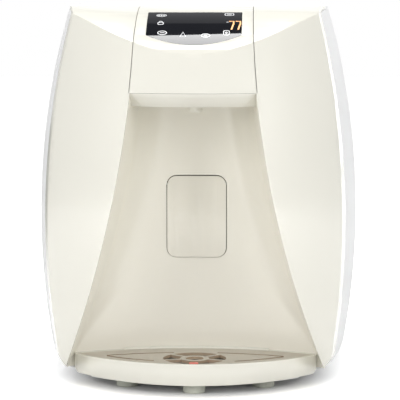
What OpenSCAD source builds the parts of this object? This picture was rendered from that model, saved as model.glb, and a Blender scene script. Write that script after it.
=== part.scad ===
// Countertop water cooler: barrel-shaped body with a flared cup niche, touch panel, push pad and drip tray.
// Millimetres. X to the right, Y to the back, Z up. The origin is on the floor under the middle of the body.

/* [Body] */
// Height from the floor to the top
overall_height = 380; // [350:1:410]
// Depth from the nose of the head to the end of the water inlet
overall_depth = 402; // [370:1:430]
// Width of the body at its waist
body_width = 331.4; // [328:0.2:344]
// Height of the waist above the floor
waist_height = 164.4; // [160:0.2:170]
// Height of the body's lower edge above the floor
body_bottom = 14.5; // [13.5:0.1:15.5]
// Wall thickness of the covers
wall = 3; // [2.6:0.1:3.2]
// Gap at the seams between the covers
seam = 0.6; // [0.4:0.1:0.8]
// Depth that the front shell returns round the sides
shell_return = 12; // [10:0.5:14]
// Rounding along the lower edges of the sides
lower_round = 25; // [20:1:28]
// Distance of the top seam behind the nose
top_seam_depth = 139; // [134:1:144]

/* [Body curves] */
// Plan radius of the front at the waist
front_radius = 195.8; // [192:0.2:200]
// Radius of the front's upright curve
front_sag = 609; // [580:1:640]
// Plan radius of each side
side_radius = 675; // [640:1:720]
// Radius of each side's upright curve
side_sag = 748; // [720:1:780]
// Distance of the widest place behind the nose
side_waist_depth = 213; // [206:1:220]
// Radius of the brow where the top rolls down to the front
brow_radius = 173.6; // [168:0.2:180]
// Distance of the top of the brow behind the nose
brow_depth = 125; // [121:1:129]

/* [Head] */
// Height of the head from its front lower edge to the top
head_height = 81.4; // [78:0.2:86]
// Height of the chamfered band under the head
lip_band = 14; // [12:0.5:16]
// How far the band slopes back
lip_slope = 14; // [12:0.5:16]
// Half width of the centre strip at the top
strip_half_width = 57; // [55:0.2:59]
// Radius of the strip's flared seam
strip_flare = 950; // [900:5:1000]
// Height above the top where the strip would be narrowest
strip_flare_rise = 12; // [8:1:16]
// Width of the control glass
glass_width = 93; // [88:0.5:98]
// Thickness of the control glass
glass_thickness = 1.6; // [1.2:0.1:1.8]
// Distance of the glass's rear edge behind the nose
glass_rear_depth = 82.5; // [80:0.5:85]
// Distance of the glass's front edge behind the nose
glass_front_depth = 20; // [18:0.5:22]
// Plan radius of the glass's front edge
glass_nose_radius = 90; // [84:1:96]
// Radius of the spout's tip
spout_radius = 8; // [7:0.2:9]
// How far the spout's tip shows below the head
spout_drop = 7.6; // [5:0.2:10]
// Distance of the spout behind the nose
spout_depth = 58.5; // [56:0.5:61]

/* [Cup niche] */
// Depth of the niche from the nose to the middle of its back wall
niche_depth = 117; // [114:0.5:119]
// Plan radius of the hollow back wall
niche_back_radius = 250; // [240:1:265]
// Half width of the niche where it is narrowest
niche_half_width = 58.3; // [57:0.1:60]
// Radius of the niche's flared edge
niche_flare = 872; // [850:2:900]
// Height where the niche would be narrowest
niche_flare_height = 377.7; // [372:0.1:384]
// Draft of the niche's side walls
niche_draft = 0.08; // [0.06:0.01:0.1]
// Radius between the niche's sides and its back
niche_fillet = 45; // [38:1:48]
// Wall thickness of the niche liner
liner_wall = 2.5; // [2:0.1:3]

/* [Push pad] */
// Width of the push pad
pad_width = 60; // [56:1:64]
// Height of the push pad
pad_height = 83; // [79:1:86]
// Height of the pad's lower edge above the floor
pad_bottom = 125; // [122:1:128]
// Thickness of the push pad
pad_thickness = 3; // [2.5:0.1:3.4]
// Corner radius of the push pad
pad_corner = 9.6; // [8:0.2:12]
// Gap round the push pad
pad_gap = 1; // [0.8:0.1:1.2]
// Forward lean of the pad at rest, in degrees
pad_lean = 1.2; // [0.8:0.1:1.5]
// Radius of the pad's hinge pin
pin_radius = 2; // [1.8:0.1:2.2]
// Radial play of a turning fit
running_play = 0.06; // [0.05:0.01:0.08]
// Diameter of the pad spring's wire
spring_wire = 0.8; // [0.7:0.05:1]
// Radius of the pad spring at the middle of its wire
spring_radius = 4; // [3.6:0.1:4.5]

/* [Drip tray] */
// Height of the tray's rim above the floor
tray_rim_height = 31.3; // [30.5:0.1:32.5]
// Plan radius of the tray's front
tray_radius = 158.5; // [156:0.5:160]
// Distance of the tray's front behind the nose
tray_front_depth = 22.3; // [20:0.1:25]
// Height of the skirt's lower edge above the floor
skirt_bottom = 9.8; // [9:0.1:10.4]
// Rounding at the skirt's lower ends
skirt_round = 12; // [9:0.5:14]
// Radius of the sweep of the skirt's lower edge, seen from the front
skirt_sweep = 2400; // [2000:50:3200]
// Height of the bead along the tray's rear rim
bead_height = 1.6; // [1.2:0.1:2]
// Wall thickness of the tray
tray_wall = 2; // [1.8:0.1:2.4]
// Width of the ledge that carries the grille
ledge_width = 3; // [2.5:0.1:3.5]
// Thickness of the grille
grille_thickness = 3; // [2.6:0.1:3.4]
// Width of the border ahead of the ring of drain openings
ring_border = 4.7; // [4.2:0.1:6]
// Radius of the grille's boss
boss_radius = 14.5; // [13:0.5:16]
// Width of the long drain slots
slot_width = 4.4; // [3.6:0.1:5]
// Play round the tray, the grille and the float
tray_play = 0.5; // [0.4:0.05:0.6]

/* [Base] */
// Diameter of the feet
foot_diameter = 22; // [20:0.5:24]
// Height of the feet
foot_height = 10; // [9.5:0.1:10.5]
// Distance of the outer front feet from the middle
front_foot_spread = 68.5; // [64:0.5:74]
// Distance of the rear feet from the middle
rear_foot_spread = 75; // [70:1:80]
// Thickness of the base pan
pan_thickness = 3; // [2.6:0.1:3.2]

/* [Back] */
// Reach of the water inlet beyond the back edge of the body
inlet_reach = 11; // [9:0.5:13]
// Thickness of the rear panel
panel_thickness = 2.5; // [2.2:0.1:3]
// Width of a vent slot
vent_width = 4; // [3.5:0.1:4.5]
// Pitch of the vent slots
vent_pitch = 9; // [8.5:0.1:10]
// Bore of the water inlet for a quarter inch tube
inlet_bore = 6.5; // [6.4:0.05:6.7]
// Radius of the panel screws' shanks
screw_radius = 1.5; // [1.4:0.05:1.6]

/* [Cooling] */
// Radius of the compressor's shell
compressor_radius = 50; // [46:0.5:51]
// Height of the compressor's shell
compressor_height = 128; // [118:1:132]
// Depth of the fan's frame
fan_depth = 25; // [23:0.5:26]
// Number of fan blades
fan_blades = 7; // [5:1:9]
// Gap between the compressor's plate and the condenser
condenser_gap = 10; // [9:0.5:14]
// Height of the condenser
condenser_height = 138; // [124:1:142]
// Depth of the condenser
condenser_depth = 38; // [34:1:40]
// Radius of the refrigerant lines
line_radius = 3; // [2.6:0.1:3.4]

/* [Water path] */
// Height of the tank shelf above the floor
shelf_height = 184; // [180:1:188]
// Thickness of the cold tank's foam jacket
cold_foam = 15; // [12:0.5:16]
// Radius of the hot tank
hot_radius = 42; // [38:0.5:44]
// Thickness of the hot tank's foam jacket
hot_foam = 11; // [9:0.5:12]
// Gap between the two tanks' jackets
tank_gap = 12; // [8:0.5:16]
// Clearance between the tanks' lids and the top cover
tank_headroom = 15; // [8:1:24]
// Radius of the filter cartridge
filter_radius = 24; // [22:0.5:25]
// Radius of the water hoses
hose_radius = 4; // [3.6:0.1:4.4]

/* [Hidden] */
$fn = 96;
// Facets of the body's large curves
fine = 360;
// Longer than the body in every direction, for cutting blocks
reach = 600;
// Overlap that keeps joined or cut faces from meeting exactly
bite = 1;
// Gap left between pieces that lie against each other
touch = 0.2;

// Main planes of the body
nose_y = -overall_depth / 2;
lip_height = overall_height - head_height;
strip_flare_height = overall_height + strip_flare_rise;
axis_y = nose_y + front_r(lip_height);
brow_y = nose_y + brow_depth;
side_waist_y = nose_y + side_waist_depth;
top_seam_y = nose_y + top_seam_depth;
back_y = overall_depth / 2 - inlet_reach;
// Setback of the rear panel in the housing's edge
panel_setback = 1;
panel_y = back_y - panel_setback - panel_thickness;

// Cup niche and head
niche_back_y = nose_y + niche_depth;
niche_axis_y = niche_back_y - niche_back_radius;
spout_y = nose_y + spout_depth;
// Lengths by which the niche's cutter runs out ahead of the nose and behind the back wall
niche_lead = 40;
niche_tail = 60;
fillet_sink = 0.6;
head_low = lip_height - lip_band;
lip_side_slope = 12;
spout_tip_height = head_low - spout_drop;
spout_wall = 2.4;
spout_flange_radius = spout_radius + 5;
spout_flange = 3;
spout_bore = 4.5;
spout_chamfer = 1.5;
spout_taper = 2;
block_lift = 16;
block_low = head_low + block_lift;
block_height = 20;
block_half = 32;
block_front = 14;
block_rear = 50;
block_post_radius = 4;
block_post_inset = 6;
block_post_ahead = 12;
coil_radius = 9.5;
coil_height = 24;
coil_pitch = 21;
coil_cap = 3;
port_radius = hose_radius;
port_length = 8;
port_drill = 6;
port_height = block_low + block_height / 2;
port_spread = 20;

// Touch board under the head cover
glass_rear_y = nose_y + glass_rear_depth;
glass_front_y = nose_y + glass_front_depth;
board_thickness = 1.6;
board_depth = 6;
board_margin = 8;
board_post_radius = 3;
chip_height = 3;
board_run = glass_rear_y - glass_front_y - board_margin;
board_tilt = atan((top_z(glass_rear_y) - top_z(glass_front_y)) / (glass_rear_y - glass_front_y));
board_y = (glass_rear_y + glass_front_y) / 2;
board_z = (top_z(glass_rear_y) + top_z(glass_front_y)) / 2;

// Push pad and what carries it
pad_top = pad_bottom + pad_height;
pad_middle = pad_bottom + pad_height / 2;
hinge_drop = 8;
hinge_set = 9;
hinge_z = pad_top - hinge_drop;
hinge_y = niche_back_y + hinge_set;
lug_x = 14;
lug_width = 5;
lug_wall = 2.5;
lug_radius = pin_radius + lug_wall;
// Half depth of the cuts through the back wall for the pad
pad_cut = 20;
bracket_wall = 2;
bracket_margin = 4;
bracket_depth = 24;
bracket_y = niche_back_y + bracket_depth;
switch_drop = 22;
switch_z = hinge_z - switch_drop;
switch_width = 20;
switch_tall = 10;
switch_deep = 7;
switch_face_y = bracket_y - bracket_wall - switch_deep;
switch_collar = 1.4;
switch_collar_rise = 0.6;
switch_hole = 1.2;
switch_hole_x = 7.4;
switch_hole_drop = 2;
plunger_radius = 1.5;
plunger_reach = 2.4;
plunger_root = 2.6;
presser_width = 8;
presser_height = 4;
presser_gap = 0.4;
presser_y = switch_face_y - plunger_reach - presser_gap;
spring_rise = 20;
spring_z = pad_bottom + spring_rise;
spring_turns = 6;
spring_steps = 8;
spring_peg = 2.8;
spring_peg_length = 4;
spring_hole = 1.6;
spring_front = 1.6;

// Drip tray, grille and float
rim_drop = 0.4;
tray_front_y = nose_y + tray_front_depth;
tray_axis_y = tray_front_y + tray_radius;
tray_lift = 0.3;
bead_end = 48;
tray_floor_low = foot_height + pan_thickness + tray_lift;
tray_floor = tray_floor_low + tray_wall;
grille_low = tray_rim_height - rim_drop - grille_thickness;
tray_tip_set = 34;
tray_tip = niche_half(niche_back_y - tray_tip_set, tray_rim_height) - 2 * tray_play;
bead_half = tray_tip - bead_end;
ring_radius = spout_y - tray_front_y - ring_border;
spoke_width = 4;
spoke_angles = [41, 139, 199, 341];
cup_radius = 9;
cup_floor = 1.2;
cup_drain = 2.2;
front_slot_set = 16;
back_slot_set = 27;
front_slot_radius = tray_radius - front_slot_set;
back_slot_radius = niche_back_radius - back_slot_set;
slot_end = 32.8;
slot_outer = tray_tip - slot_end;
slot_inner_front = ring_radius + 8.5;
slot_inner_back = ring_radius - 9.5;
float_width = 9;
float_deep = 7;
float_gap = 1.7;
float_y = tray_front_y + tray_wall + ledge_width + float_gap + float_deep / 2;
float_corner = 2;
float_body_width = 18;
float_body_height = 7;
float_lift = 0.3;
float_post_radius = 1.6;
float_post_height = 7;
// Headroom over the float's post
float_head = 3;

// Base
pan_low = body_bottom + wall;
pan_top = pan_low + pan_thickness;
tongue_gap = 2;
tongue_radius = tray_radius - tray_wall - tongue_gap;
liner_low = foot_height + pan_thickness + touch;
floor_half = 95;
riser_wall = 3;
riser_half = floor_half - riser_wall;
tongue_ear = 12;
front_foot_set = 19.7;
outer_foot_set = 51.7;
rear_foot_set = 40;
front_foot_y = tray_front_y + front_foot_set;
outer_foot_y = tray_front_y + outer_foot_set;
rear_foot_y = back_y - rear_foot_set;
foot_screw = 2;
foot_boss = 2;
foot_chamfer = 1.2;
pan_vent_rows = 7;
pan_vent_length = 70;
pan_vent_set = 12;
// Least flat left between a vent's round ends
vent_flat = 0.2;

// Rear panel fixings: one row of heights for both sides
screw_heights = [48, 166, 284];
screw_edge = 10;
boss_outer = 5;
boss_length = 20;
boss_floor = 4;
screw_head_radius = 3.4;
screw_head = 2;
screw_length = 10;

// Shelf and the pieces on it
shelf_wall = 2;
shelf_side_gap = 44.7;
shelf_half = body_width / 2 - shelf_side_gap;
shelf_front_set = 52;
shelf_rear_set = 24;
shelf_front = niche_back_y + shelf_front_set;
shelf_rear = back_y - shelf_rear_set;
shelf_low = shelf_height - shelf_wall;
leg_frame = 20;
leg_sill = 30;
leg_corner = 12;
board_flange_half = 64;
board_flange_height = 110;
board_flange_top = shelf_height + board_flange_height;
board_edge = 2;
part_pitch = 24;
part_row = 24;
relay_width = 16;
relay_height = 14;
relay_deep = 9;
capacitor_radius = 6;
standoff = 5;
standoff_radius = 3;
standoff_inset = 8;
standoff_low = 12;
standoff_high = 10;
jacket_floor = 12;
lid_thickness = 8;
lid_top = 14;
lid_port_z = 7;
stub_length = 7;
tank_wall = 1.2;
tank_edge = 12;
cold_height = overall_height - wall - tank_headroom - lid_top - lid_thickness - shelf_height;
hot_height = cold_height;
cold_side_gap = 40.7;
hot_side_gap = 46.7;
hot_outer = hot_radius + hot_foam;
cold_outer = (body_width - cold_side_gap - hot_side_gap - tank_gap) / 2 - hot_outer;
cold_radius = cold_outer - cold_foam;
cold_x = cold_side_gap + cold_outer - body_width / 2;
hot_x = body_width / 2 - hot_side_gap - hot_outer;
cold_board_gap = 14;
hot_board_gap = 29;
cold_y = shelf_front + cold_board_gap + cold_outer;
hot_y = shelf_front + hot_board_gap + hot_outer;
filter_set = 41;
filter_x = (cold_x + cold_outer + hot_x - hot_outer) / 2;
filter_y = back_y - filter_set;
filter_cup = 3;
filter_ring = 1.5;
filter_ring_height = 12;
filter_ring_drop = 20;
filter_cap = 2;
filter_cap_height = 16;
filter_port_z = shelf_height + cold_height + lid_thickness + lid_port_z;
filter_height = filter_port_z - filter_cap_height / 2 - shelf_height;
filter_port_x = filter_radius + filter_cap + stub_length;
// Straight reach of a hose beyond its port, in a short bend and in a wide one
hose_bend = 24;
hose_sweep = 36;

// Refrigeration under the shelf
grommet_height = 8.5;
grommet_radius = 9;
grommet_neck = 2;
grommet_collar = 3;
grommet_spread = 43;
grommet_hole = 4;
plate_edge = 11;
plate_corner = 10;
plate_half = grommet_spread + plate_edge;
plate_side_gap = 7;
compressor_set = 91;
compressor_x = plate_half + plate_side_gap + shelf_wall - shelf_half;
compressor_y = back_y - compressor_set;
compressor_plate = 4;
compressor_low = pan_top + grommet_height;
compressor_seam = 2;
compressor_shoulder = 22;
discharge_offset = 20;
discharge_drop = 32;
suction_drop = 24;
discharge_z = compressor_low + compressor_height - discharge_drop;
suction_z = compressor_low + compressor_height - compressor_shoulder - suction_drop;
line_wall = 1;
suction_entry = cold_radius - 3 * line_wall;
line_bend = 16;
line_rise = 40;
condenser_set = 58;
condenser_side_gap = 7;
condenser_left = compressor_x + plate_half + condenser_gap;
condenser_width = shelf_half - shelf_wall - condenser_side_gap - condenser_left;
condenser_y = back_y - condenser_set;
fan_x = condenser_left + condenser_width / 2;
fan_margin = 7;
fan_lift = 6;
fan_size = condenser_width - 2 * fan_margin;
fan_y = condenser_y - touch - fan_depth;
fan_z = pan_top + condenser_height / 2 + fan_lift;
fan_hub_radius = 17;
fan_clearance = 1.5;
fan_rim = 3;
fan_corner = 5;
fan_hole = 2.2;
fan_arm = 5;
fan_plate = 3;
fan_gap = 0.5;
fan_opening = fan_size / 2 - fan_rim;
blade_thickness = 1.6;
blade_chord = 16;
blade_root = 2;
blade_twist = 32;
fin_pitch = 5.3;
fin_thickness = 1;
fin_end = 2;
fin_lift = 4;
coil_rows = 5;
coil_end = 16;
coil_bead = 0.5;
condenser_port_z = pan_top + condenser_height - coil_end;
shaft_radius = 3;
shaft_length = 9;
bearing_length = 6;

// Electrics and fittings on the rear panel
inlet_x = 62;
inlet_rise = 72;
inlet_z = shelf_height + inlet_rise;
inlet_nut_radius = 10;
inlet_nut = 6;
inlet_flange = 3;
inlet_body_radius = 7;
inlet_tail = 14;
inlet_seat = 4;
inlet_step = 1.5;
drain_rise = 26;
drain_z = shelf_height + drain_rise;
drain_radius = 5;
drain_tail = 10;
drain_tip = 5;
drain_collar = 4;
drain_collar_height = 3;
cap_wall = 2.5;
cap_length = 8;
cap_floor = 3;
cap_play = 0.3;
socket_rise = 44;
socket_side_gap = 44.9;
socket_z = pan_top + socket_rise;
socket_x = socket_side_gap - side_x(back_y, socket_z);
socket_width = 27;
socket_height = 20;
socket_deep = 18;
socket_wall = 2;
flange_width = 48;
flange_height = 28;
flange_thickness = 3;
flange_corner = 6;
socket_corner = 2;
blade_width = 2;
blade_height = 4;
blade_recess = 5;
blade_places = [[-7, -1.5], [7, -1.5], [0, 3]];
rocker_rise = 42;
rocker_z = socket_z + rocker_rise;
rocker_width = 13;
rocker_height = 19;
rocker_wall = 2;
rocker_deep = 16;
rocker_tilt = 8;
rocker_lip = 2.5;
rocker_pin = 1.5;
rocker_play = 0.4;
rocker_keel = 5;
rocker_cheek = 2;
rocker_crest = 2.5;
rocker_dip = 0.8;
rocker_end = 1.6;
bezel_rim = 2;
bezel_corner = 1.5;
supply_half = 55;
supply_set = 30;
supply_low_y = niche_back_y + supply_set;
supply_deep = 56;
supply_height = 36;
supply_slots = 8;
supply_slot = 4;
supply_slot_pitch = 10;
supply_border = 8;
supply_first = 16;

// How far an arc of the given radius falls away at a given offset from its middle
function arc_drop(radius, offset) = radius - sqrt(radius * radius - offset * offset);

// Plan radius of the front at a height
function front_r(z) = front_radius - arc_drop(front_sag, z - waist_height);

// Half width of the body at a place on its side
function side_x(y, z) =
  let (drop = arc_drop(side_sag, z - waist_height))
  body_width / 2 - drop - arc_drop(side_radius - drop, y - side_waist_y);

// Height of the top at a depth
function top_z(y) = overall_height - (y < brow_y ? arc_drop(brow_radius, brow_y - y) : 0);

// Half width of the centre strip at a height
function strip_half(z) = strip_half_width + arc_drop(strip_flare, strip_flare_height - z);

// Half width of the niche at a depth and a height
function niche_half(y, z) = niche_half_width + niche_flare
  - sqrt(pow(niche_flare + niche_draft * (y - nose_y), 2) - pow(niche_flare_height - z, 2));

// Point on a cubic curve with two end points and two handles
function curve(p, t) =
  let (u = 1 - t)
  u * u * u * p[0] + 3 * u * u * t * p[1] + 3 * u * t * t * p[2] + t * t * t * p[3];

function unit(v) = v / norm(v);

// Direction of a path at one of its points
function heading(path, i) = i == 0 ? unit(path[1] - path[0])
  : i == len(path) - 1 ? unit(path[i] - path[i - 1])
  : unit(path[i + 1] - path[i - 1]);

// Ring of points round a path, square to its heading
function ring(centre, along, radius, sides) =
  let (across = unit(cross(along, [0.43, 0.31, 0.85])), up = cross(along, across))
  [for (k = [0 : sides - 1]) centre + radius * (cos(360 * k / sides) * across + sin(360 * k / sides) * up)];

// Round bar along a path, as one closed solid
module bar_along(path, radius, sides, start, end) {
  count = len(path);
  points = [for (i = [0 : count - 1]) each ring(path[i],
    i == 0 ? start : i == count - 1 ? end : heading(path, i), radius, sides)];
  skin_faces = [for (i = [0 : count - 2], k = [0 : sides - 1]) each
    let (a = i * sides + k, b = i * sides + (k + 1) % sides)
    [[a, b, b + sides], [a, b + sides, a + sides]]];
  last = (count - 1) * sides;
  cap_faces = [for (k = [1 : sides - 2]) each [[0, k + 1, k], [last, last + k, last + k + 1]]];
  polyhedron(points, concat(skin_faces, cap_faces));
}

// Hose along a cubic curve, square to its ports at both ends
module hose(p, radius) {
  steps = 12;
  path = [for (i = [0 : steps]) curve(p, i / steps)];
  bar_along(path, radius, 10, unit(p[1] - p[0]), unit(p[3] - p[2]));
}

// Blocks that keep one side of a plane
module ahead(y) {
  translate([-reach, y - 2 * reach, -reach]) cube(2 * reach);
}

module behind(y) {
  translate([-reach, y, -reach]) cube(2 * reach);
}

module slab(low, high) {
  translate([-reach, -reach, low]) cube([2 * reach, 2 * reach, high - low]);
}

// Cylinder along Y from its front end
module along_y(radius, length) {
  rotate([-90, 0, 0]) cylinder(r = radius, h = length);
}

// Cylinder along X, centred
module along_x(radius, length) {
  rotate([0, 90, 0]) cylinder(r = radius, h = length, center = true);
}

// Rectangle with round corners, centred
module round_rect(width, height, corner) {
  square([width, height - 2 * corner], center = true);
  square([width - 2 * corner, height], center = true);
  for (x = [-1, 1], y = [-1, 1])
    translate([x * (width / 2 - corner), y * (height / 2 - corner)]) circle(corner);
}

// Plate in the front view, from a front plane backwards
module front_plate(y, thickness) {
  translate([0, y + thickness, 0]) rotate([90, 0, 0]) linear_extrude(thickness) children();
}

// Upright outline of a barrel, open below
module barrel_outline(plan, sag, inset) {
  intersection() {
    translate([plan - sag, waist_height]) circle(sag - inset, $fn = fine);
    square([plan, overall_height + bite]);
  }
}

// Upright outline of a side, with its lower edge rounded
module side_outline(inset) {
  sag = side_sag - inset;
  middle_x = side_radius - side_sag;
  round_z = body_bottom + lower_round;
  round_x = middle_x + sqrt(pow(side_sag - lower_round, 2) - pow(waist_height - round_z, 2));
  touch_z = waist_height + (round_z - waist_height) * sag / (side_sag - lower_round);
  intersection() {
    translate([middle_x, waist_height]) circle(sag, $fn = fine);
    translate([0, touch_z]) square([side_radius, overall_height + 2 * bite - touch_z]);
  }
  translate([round_x, round_z]) circle(lower_round - inset);
  translate([0, body_bottom + inset]) square([round_x, touch_z - body_bottom - inset]);
}

// Everything behind the front's curve
module front_barrel(inset, shift = 0) {
  translate([0, axis_y + shift, 0]) rotate_extrude($fn = fine) barrel_outline(front_radius, front_sag, inset);
  translate([-reach, axis_y + shift, 0]) cube([2 * reach, reach, overall_height + bite]);
}

// Everything inside the right side's curve
module side_barrel(inset) {
  translate([body_width / 2 - side_radius, side_waist_y, 0]) rotate_extrude($fn = fine) side_outline(inset);
}

// Everything below the top, with its brow, between the floor and the back edge
module below_top(drop) {
  low = bite;
  translate([-reach, 0, 0]) rotate([90, 0, 90]) linear_extrude(2 * reach) {
    translate([brow_y, overall_height - brow_radius]) circle(brow_radius - drop, $fn = fine);
    translate([brow_y - brow_radius + drop, low])
      square([brow_radius - drop, overall_height - brow_radius - low]);
    translate([brow_y, low]) square([back_y + drop - brow_y, overall_height - drop - low]);
  }
}

// The whole body, set in from its outer surface, open at the back when set in
module body(inset) {
  intersection() {
    below_top(inset);
    side_barrel(inset);
    mirror([1, 0, 0]) side_barrel(inset);
    front_barrel(inset);
  }
}

// Outer wall of the body, with an opening in its floor
module skin() {
  difference() {
    body(0);
    body(wall);
    translate([-floor_half, nose_y, 0])
      cube([2 * floor_half, rear_foot_y + foot_diameter - nose_y, pan_low + bite]);
  }
}

// Strip down the middle of the head, with flared sides
module strip(grow) {
  difference() {
    translate([-reach / 2, nose_y - bite, lip_height]) cube([reach, reach, overall_height]);
    for (side = [-1, 1])
      translate([side * (strip_half_width + strip_flare), nose_y - 2 * bite, strip_flare_height])
        along_y(strip_flare - grow, reach + 4 * bite, $fn = fine);
  }
}

// The cup niche, with drafted flared sides and a hollow back wall
module niche_space(grow, low, high) {
  start = nose_y - niche_lead;
  stop = niche_back_y + niche_tail;
  difference() {
    intersection() {
      translate([0, niche_axis_y, low]) cylinder(r = niche_back_radius + grow, h = high - low, $fn = fine);
      translate([-reach / 2, start + bite, low]) cube([reach, stop - start - 2 * bite, high - low]);
    }
    for (side = [-1, 1])
      translate([side * (niche_half_width + niche_flare), 0, niche_flare_height])
        rotate([-90, 0, 0]) rotate_extrude($fn = fine) niche_side(grow, start, stop);
  }
}

// Profile of a flared side wall about its far axis, with the round into the back wall
module niche_side(grow, start, stop) {
  slope = sqrt(1 + niche_draft * niche_draft);
  round_radius = niche_fillet + grow;
  round_y = niche_back_y + fillet_sink - niche_fillet;
  round_r = niche_flare + niche_draft * (round_y - nose_y) + niche_fillet * slope;
  meet_y = round_y + round_radius * niche_draft / slope;
  polygon([[0, start], [niche_flare - grow * slope + niche_draft * (start - nose_y), start],
    [niche_flare - grow * slope + niche_draft * (stop - nose_y), stop], [0, stop]]);
  difference() {
    translate([0, meet_y]) square([round_r, round_y + round_radius - meet_y]);
    translate([round_r, round_y]) circle(round_radius, $fn = fine);
  }
}

// Lens-shaped plan of the tray, set in from its outer edge
module tray_plan(inset) {
  intersection() {
    translate([0, tray_axis_y]) circle(tray_radius - inset, $fn = fine);
    translate([0, niche_axis_y]) circle(niche_back_radius - tray_play - inset, $fn = fine);
    square([2 * (tray_tip - inset), reach], center = true);
  }
}

// Right half of the ivory front: the cheek beside the niche and its side of the brow
module cheek() {
  color("ivory") difference() {
    intersection() {
      skin();
      ahead(top_seam_y);
      translate([bite, -reach, 0]) cube([reach, 2 * reach, reach]);
    }
    intersection() {
      front_barrel(0, shell_return);
      below_top(wall);
    }
    niche_space(0, 0, lip_height + touch);
    strip(seam);
  }
}

module right_cheek() {
  cheek();
}

module left_cheek() {
  mirror([1, 0, 0]) cheek();
}

// Outline of the control glass from above
module glass_plan(grow) {
  intersection() {
    translate([0, glass_front_y + glass_nose_radius]) circle(glass_nose_radius + grow);
    translate([-glass_width / 2 - grow, glass_front_y - grow])
      square([glass_width + 2 * grow, glass_rear_y - glass_front_y + 2 * grow]);
  }
}

// Layer of the top that the control glass fills
module glass_layer(grow, depth) {
  intersection() {
    translate([0, 0, lip_height]) linear_extrude(head_height + bite) glass_plan(grow);
    difference() {
      below_top(-grow);
      below_top(depth);
    }
  }
}

// Places the touch board's own frame: under the glass, square to it
module at_board() {
  translate([0, board_y, board_z]) rotate([board_tilt, 0, 0]) translate([0, 0, -board_depth]) children();
}

// Centre strip over the head, with the pocket for the glass and the posts of the touch board
module head_cover() {
  color("ivory") difference() {
    union() {
      intersection() {
        skin();
        strip(0);
        ahead(top_seam_y);
      }
      intersection() {
        body(wall / 2);
        at_board()
          for (x = [-1, 1], y = [-1, 1])
            translate([x * (glass_width / 2 - board_margin), y * (board_run / 2 - board_margin), 0])
              cylinder(r = board_post_radius, h = board_depth + 2 * wall);
      }
    }
    glass_layer(touch, glass_thickness + touch / 2);
  }
}

module control_glass() {
  color("black") glass_layer(0, glass_thickness);
}

// Board with the touch pads, held on the posts
module touch_board() {
  color("seagreen") at_board() translate([0, 0, -board_thickness]) {
    linear_extrude(board_thickness) round_rect(glass_width - board_margin, board_run, board_margin / 2);
    translate([0, 0, -chip_height])
      linear_extrude(chip_height + bite / 2) round_rect(glass_width / 3, board_run / 3, bite);
  }
}

// Chamfered band under the head, tapering inwards and downwards
module lip_wedge(inset) {
  up = lip_height - seam / 2;
  low = head_low + inset;
  half_up = strip_half(lip_height) - seam - inset;
  half_low = half_up - lip_side_slope;
  front_up = front_r(lip_height) - touch - inset;
  intersection() {
    translate([0, axis_y, 0]) rotate_extrude() polygon([
      [0, low], [front_up - lip_slope, low], [front_up, up + inset], [0, up + inset]]);
    translate([0, niche_back_y, 0]) rotate([90, 0, 0]) linear_extrude(niche_depth) polygon([
      [-half_low, low], [half_low, low], [half_up, up + inset], [-half_up, up + inset]]);
    niche_space(-touch - inset, head_low - bite, lip_height + inset + bite);
  }
}

// Underside of the head: an open-topped pan with the spout's hole and two posts
module spout_housing() {
  post_low = head_low + spout_wall / 2;
  color("ivory") difference() {
    union() {
      difference() {
        lip_wedge(0);
        lip_wedge(spout_wall);
      }
      for (x = [-1, 1])
        translate([x * (block_half - block_post_inset), spout_y + block_rear - block_post_ahead, post_low])
          cylinder(r = block_post_radius, h = block_low - post_low);
    }
    translate([0, spout_y, head_low - bite]) cylinder(r = spout_radius + touch, h = spout_wall + 2 * bite);
  }
}

// Turned spout with a tapered tip and a flange that rests in the pan
module spout_nozzle() {
  flange_z = head_low + spout_wall;
  color("whitesmoke") translate([0, spout_y, 0]) rotate_extrude() polygon([
    [spout_bore, spout_tip_height], [spout_radius - spout_chamfer, spout_tip_height],
    [spout_radius, spout_tip_height + spout_taper], [spout_radius, flange_z],
    [spout_flange_radius, flange_z], [spout_flange_radius, flange_z + spout_flange],
    [spout_radius, flange_z + spout_flange], [spout_radius, block_low], [spout_bore, block_low]]);
}

// Valve block over the spout, with hose ports behind and an outlet below
module valve_block() {
  color("gainsboro") difference() {
    union() {
      translate([0, spout_y, block_low]) linear_extrude(block_height) {
        circle(block_front);
        translate([-block_half, block_front]) square([2 * block_half, block_rear - block_front]);
        translate([-block_front, 0]) square([2 * block_front, block_rear]);
      }
      for (x = [-1, 1])
        translate([x * port_spread, spout_y + block_rear - bite, port_height])
          along_y(port_radius, port_length + bite);
    }
    translate([0, spout_y, block_low - bite]) cylinder(r = spout_bore, h = block_height / 2 + bite);
    for (x = [-1, 1])
      translate([x * port_spread, spout_y + block_rear - port_drill, port_height])
        along_y(port_radius / 2, port_drill + port_length + bite);
  }
}

// Solenoid coils standing on the valve block
module valve_coils() {
  color("dimgray")
    for (x = [-1, 0, 1])
      translate([x * coil_pitch, spout_y + (block_front + block_rear) / 2, block_low + block_height]) {
        cylinder(r = coil_radius, h = coil_height);
        cylinder(r = coil_radius / 2, h = coil_height + coil_cap);
      }
}

// Liner of the cup niche, with the opening for the push pad
module niche_liner() {
  color("wheat") difference() {
    intersection() {
      difference() {
        niche_space(liner_wall, liner_low, lip_height - seam);
        niche_space(0, liner_low - bite, lip_height + bite);
      }
      body(wall + touch);
    }
    front_plate(niche_back_y - pad_cut, 2 * pad_cut)
      translate([0, pad_middle])
        round_rect(pad_width + 2 * pad_gap, pad_height + 2 * pad_gap, pad_corner + pad_gap);
  }
}

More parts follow.
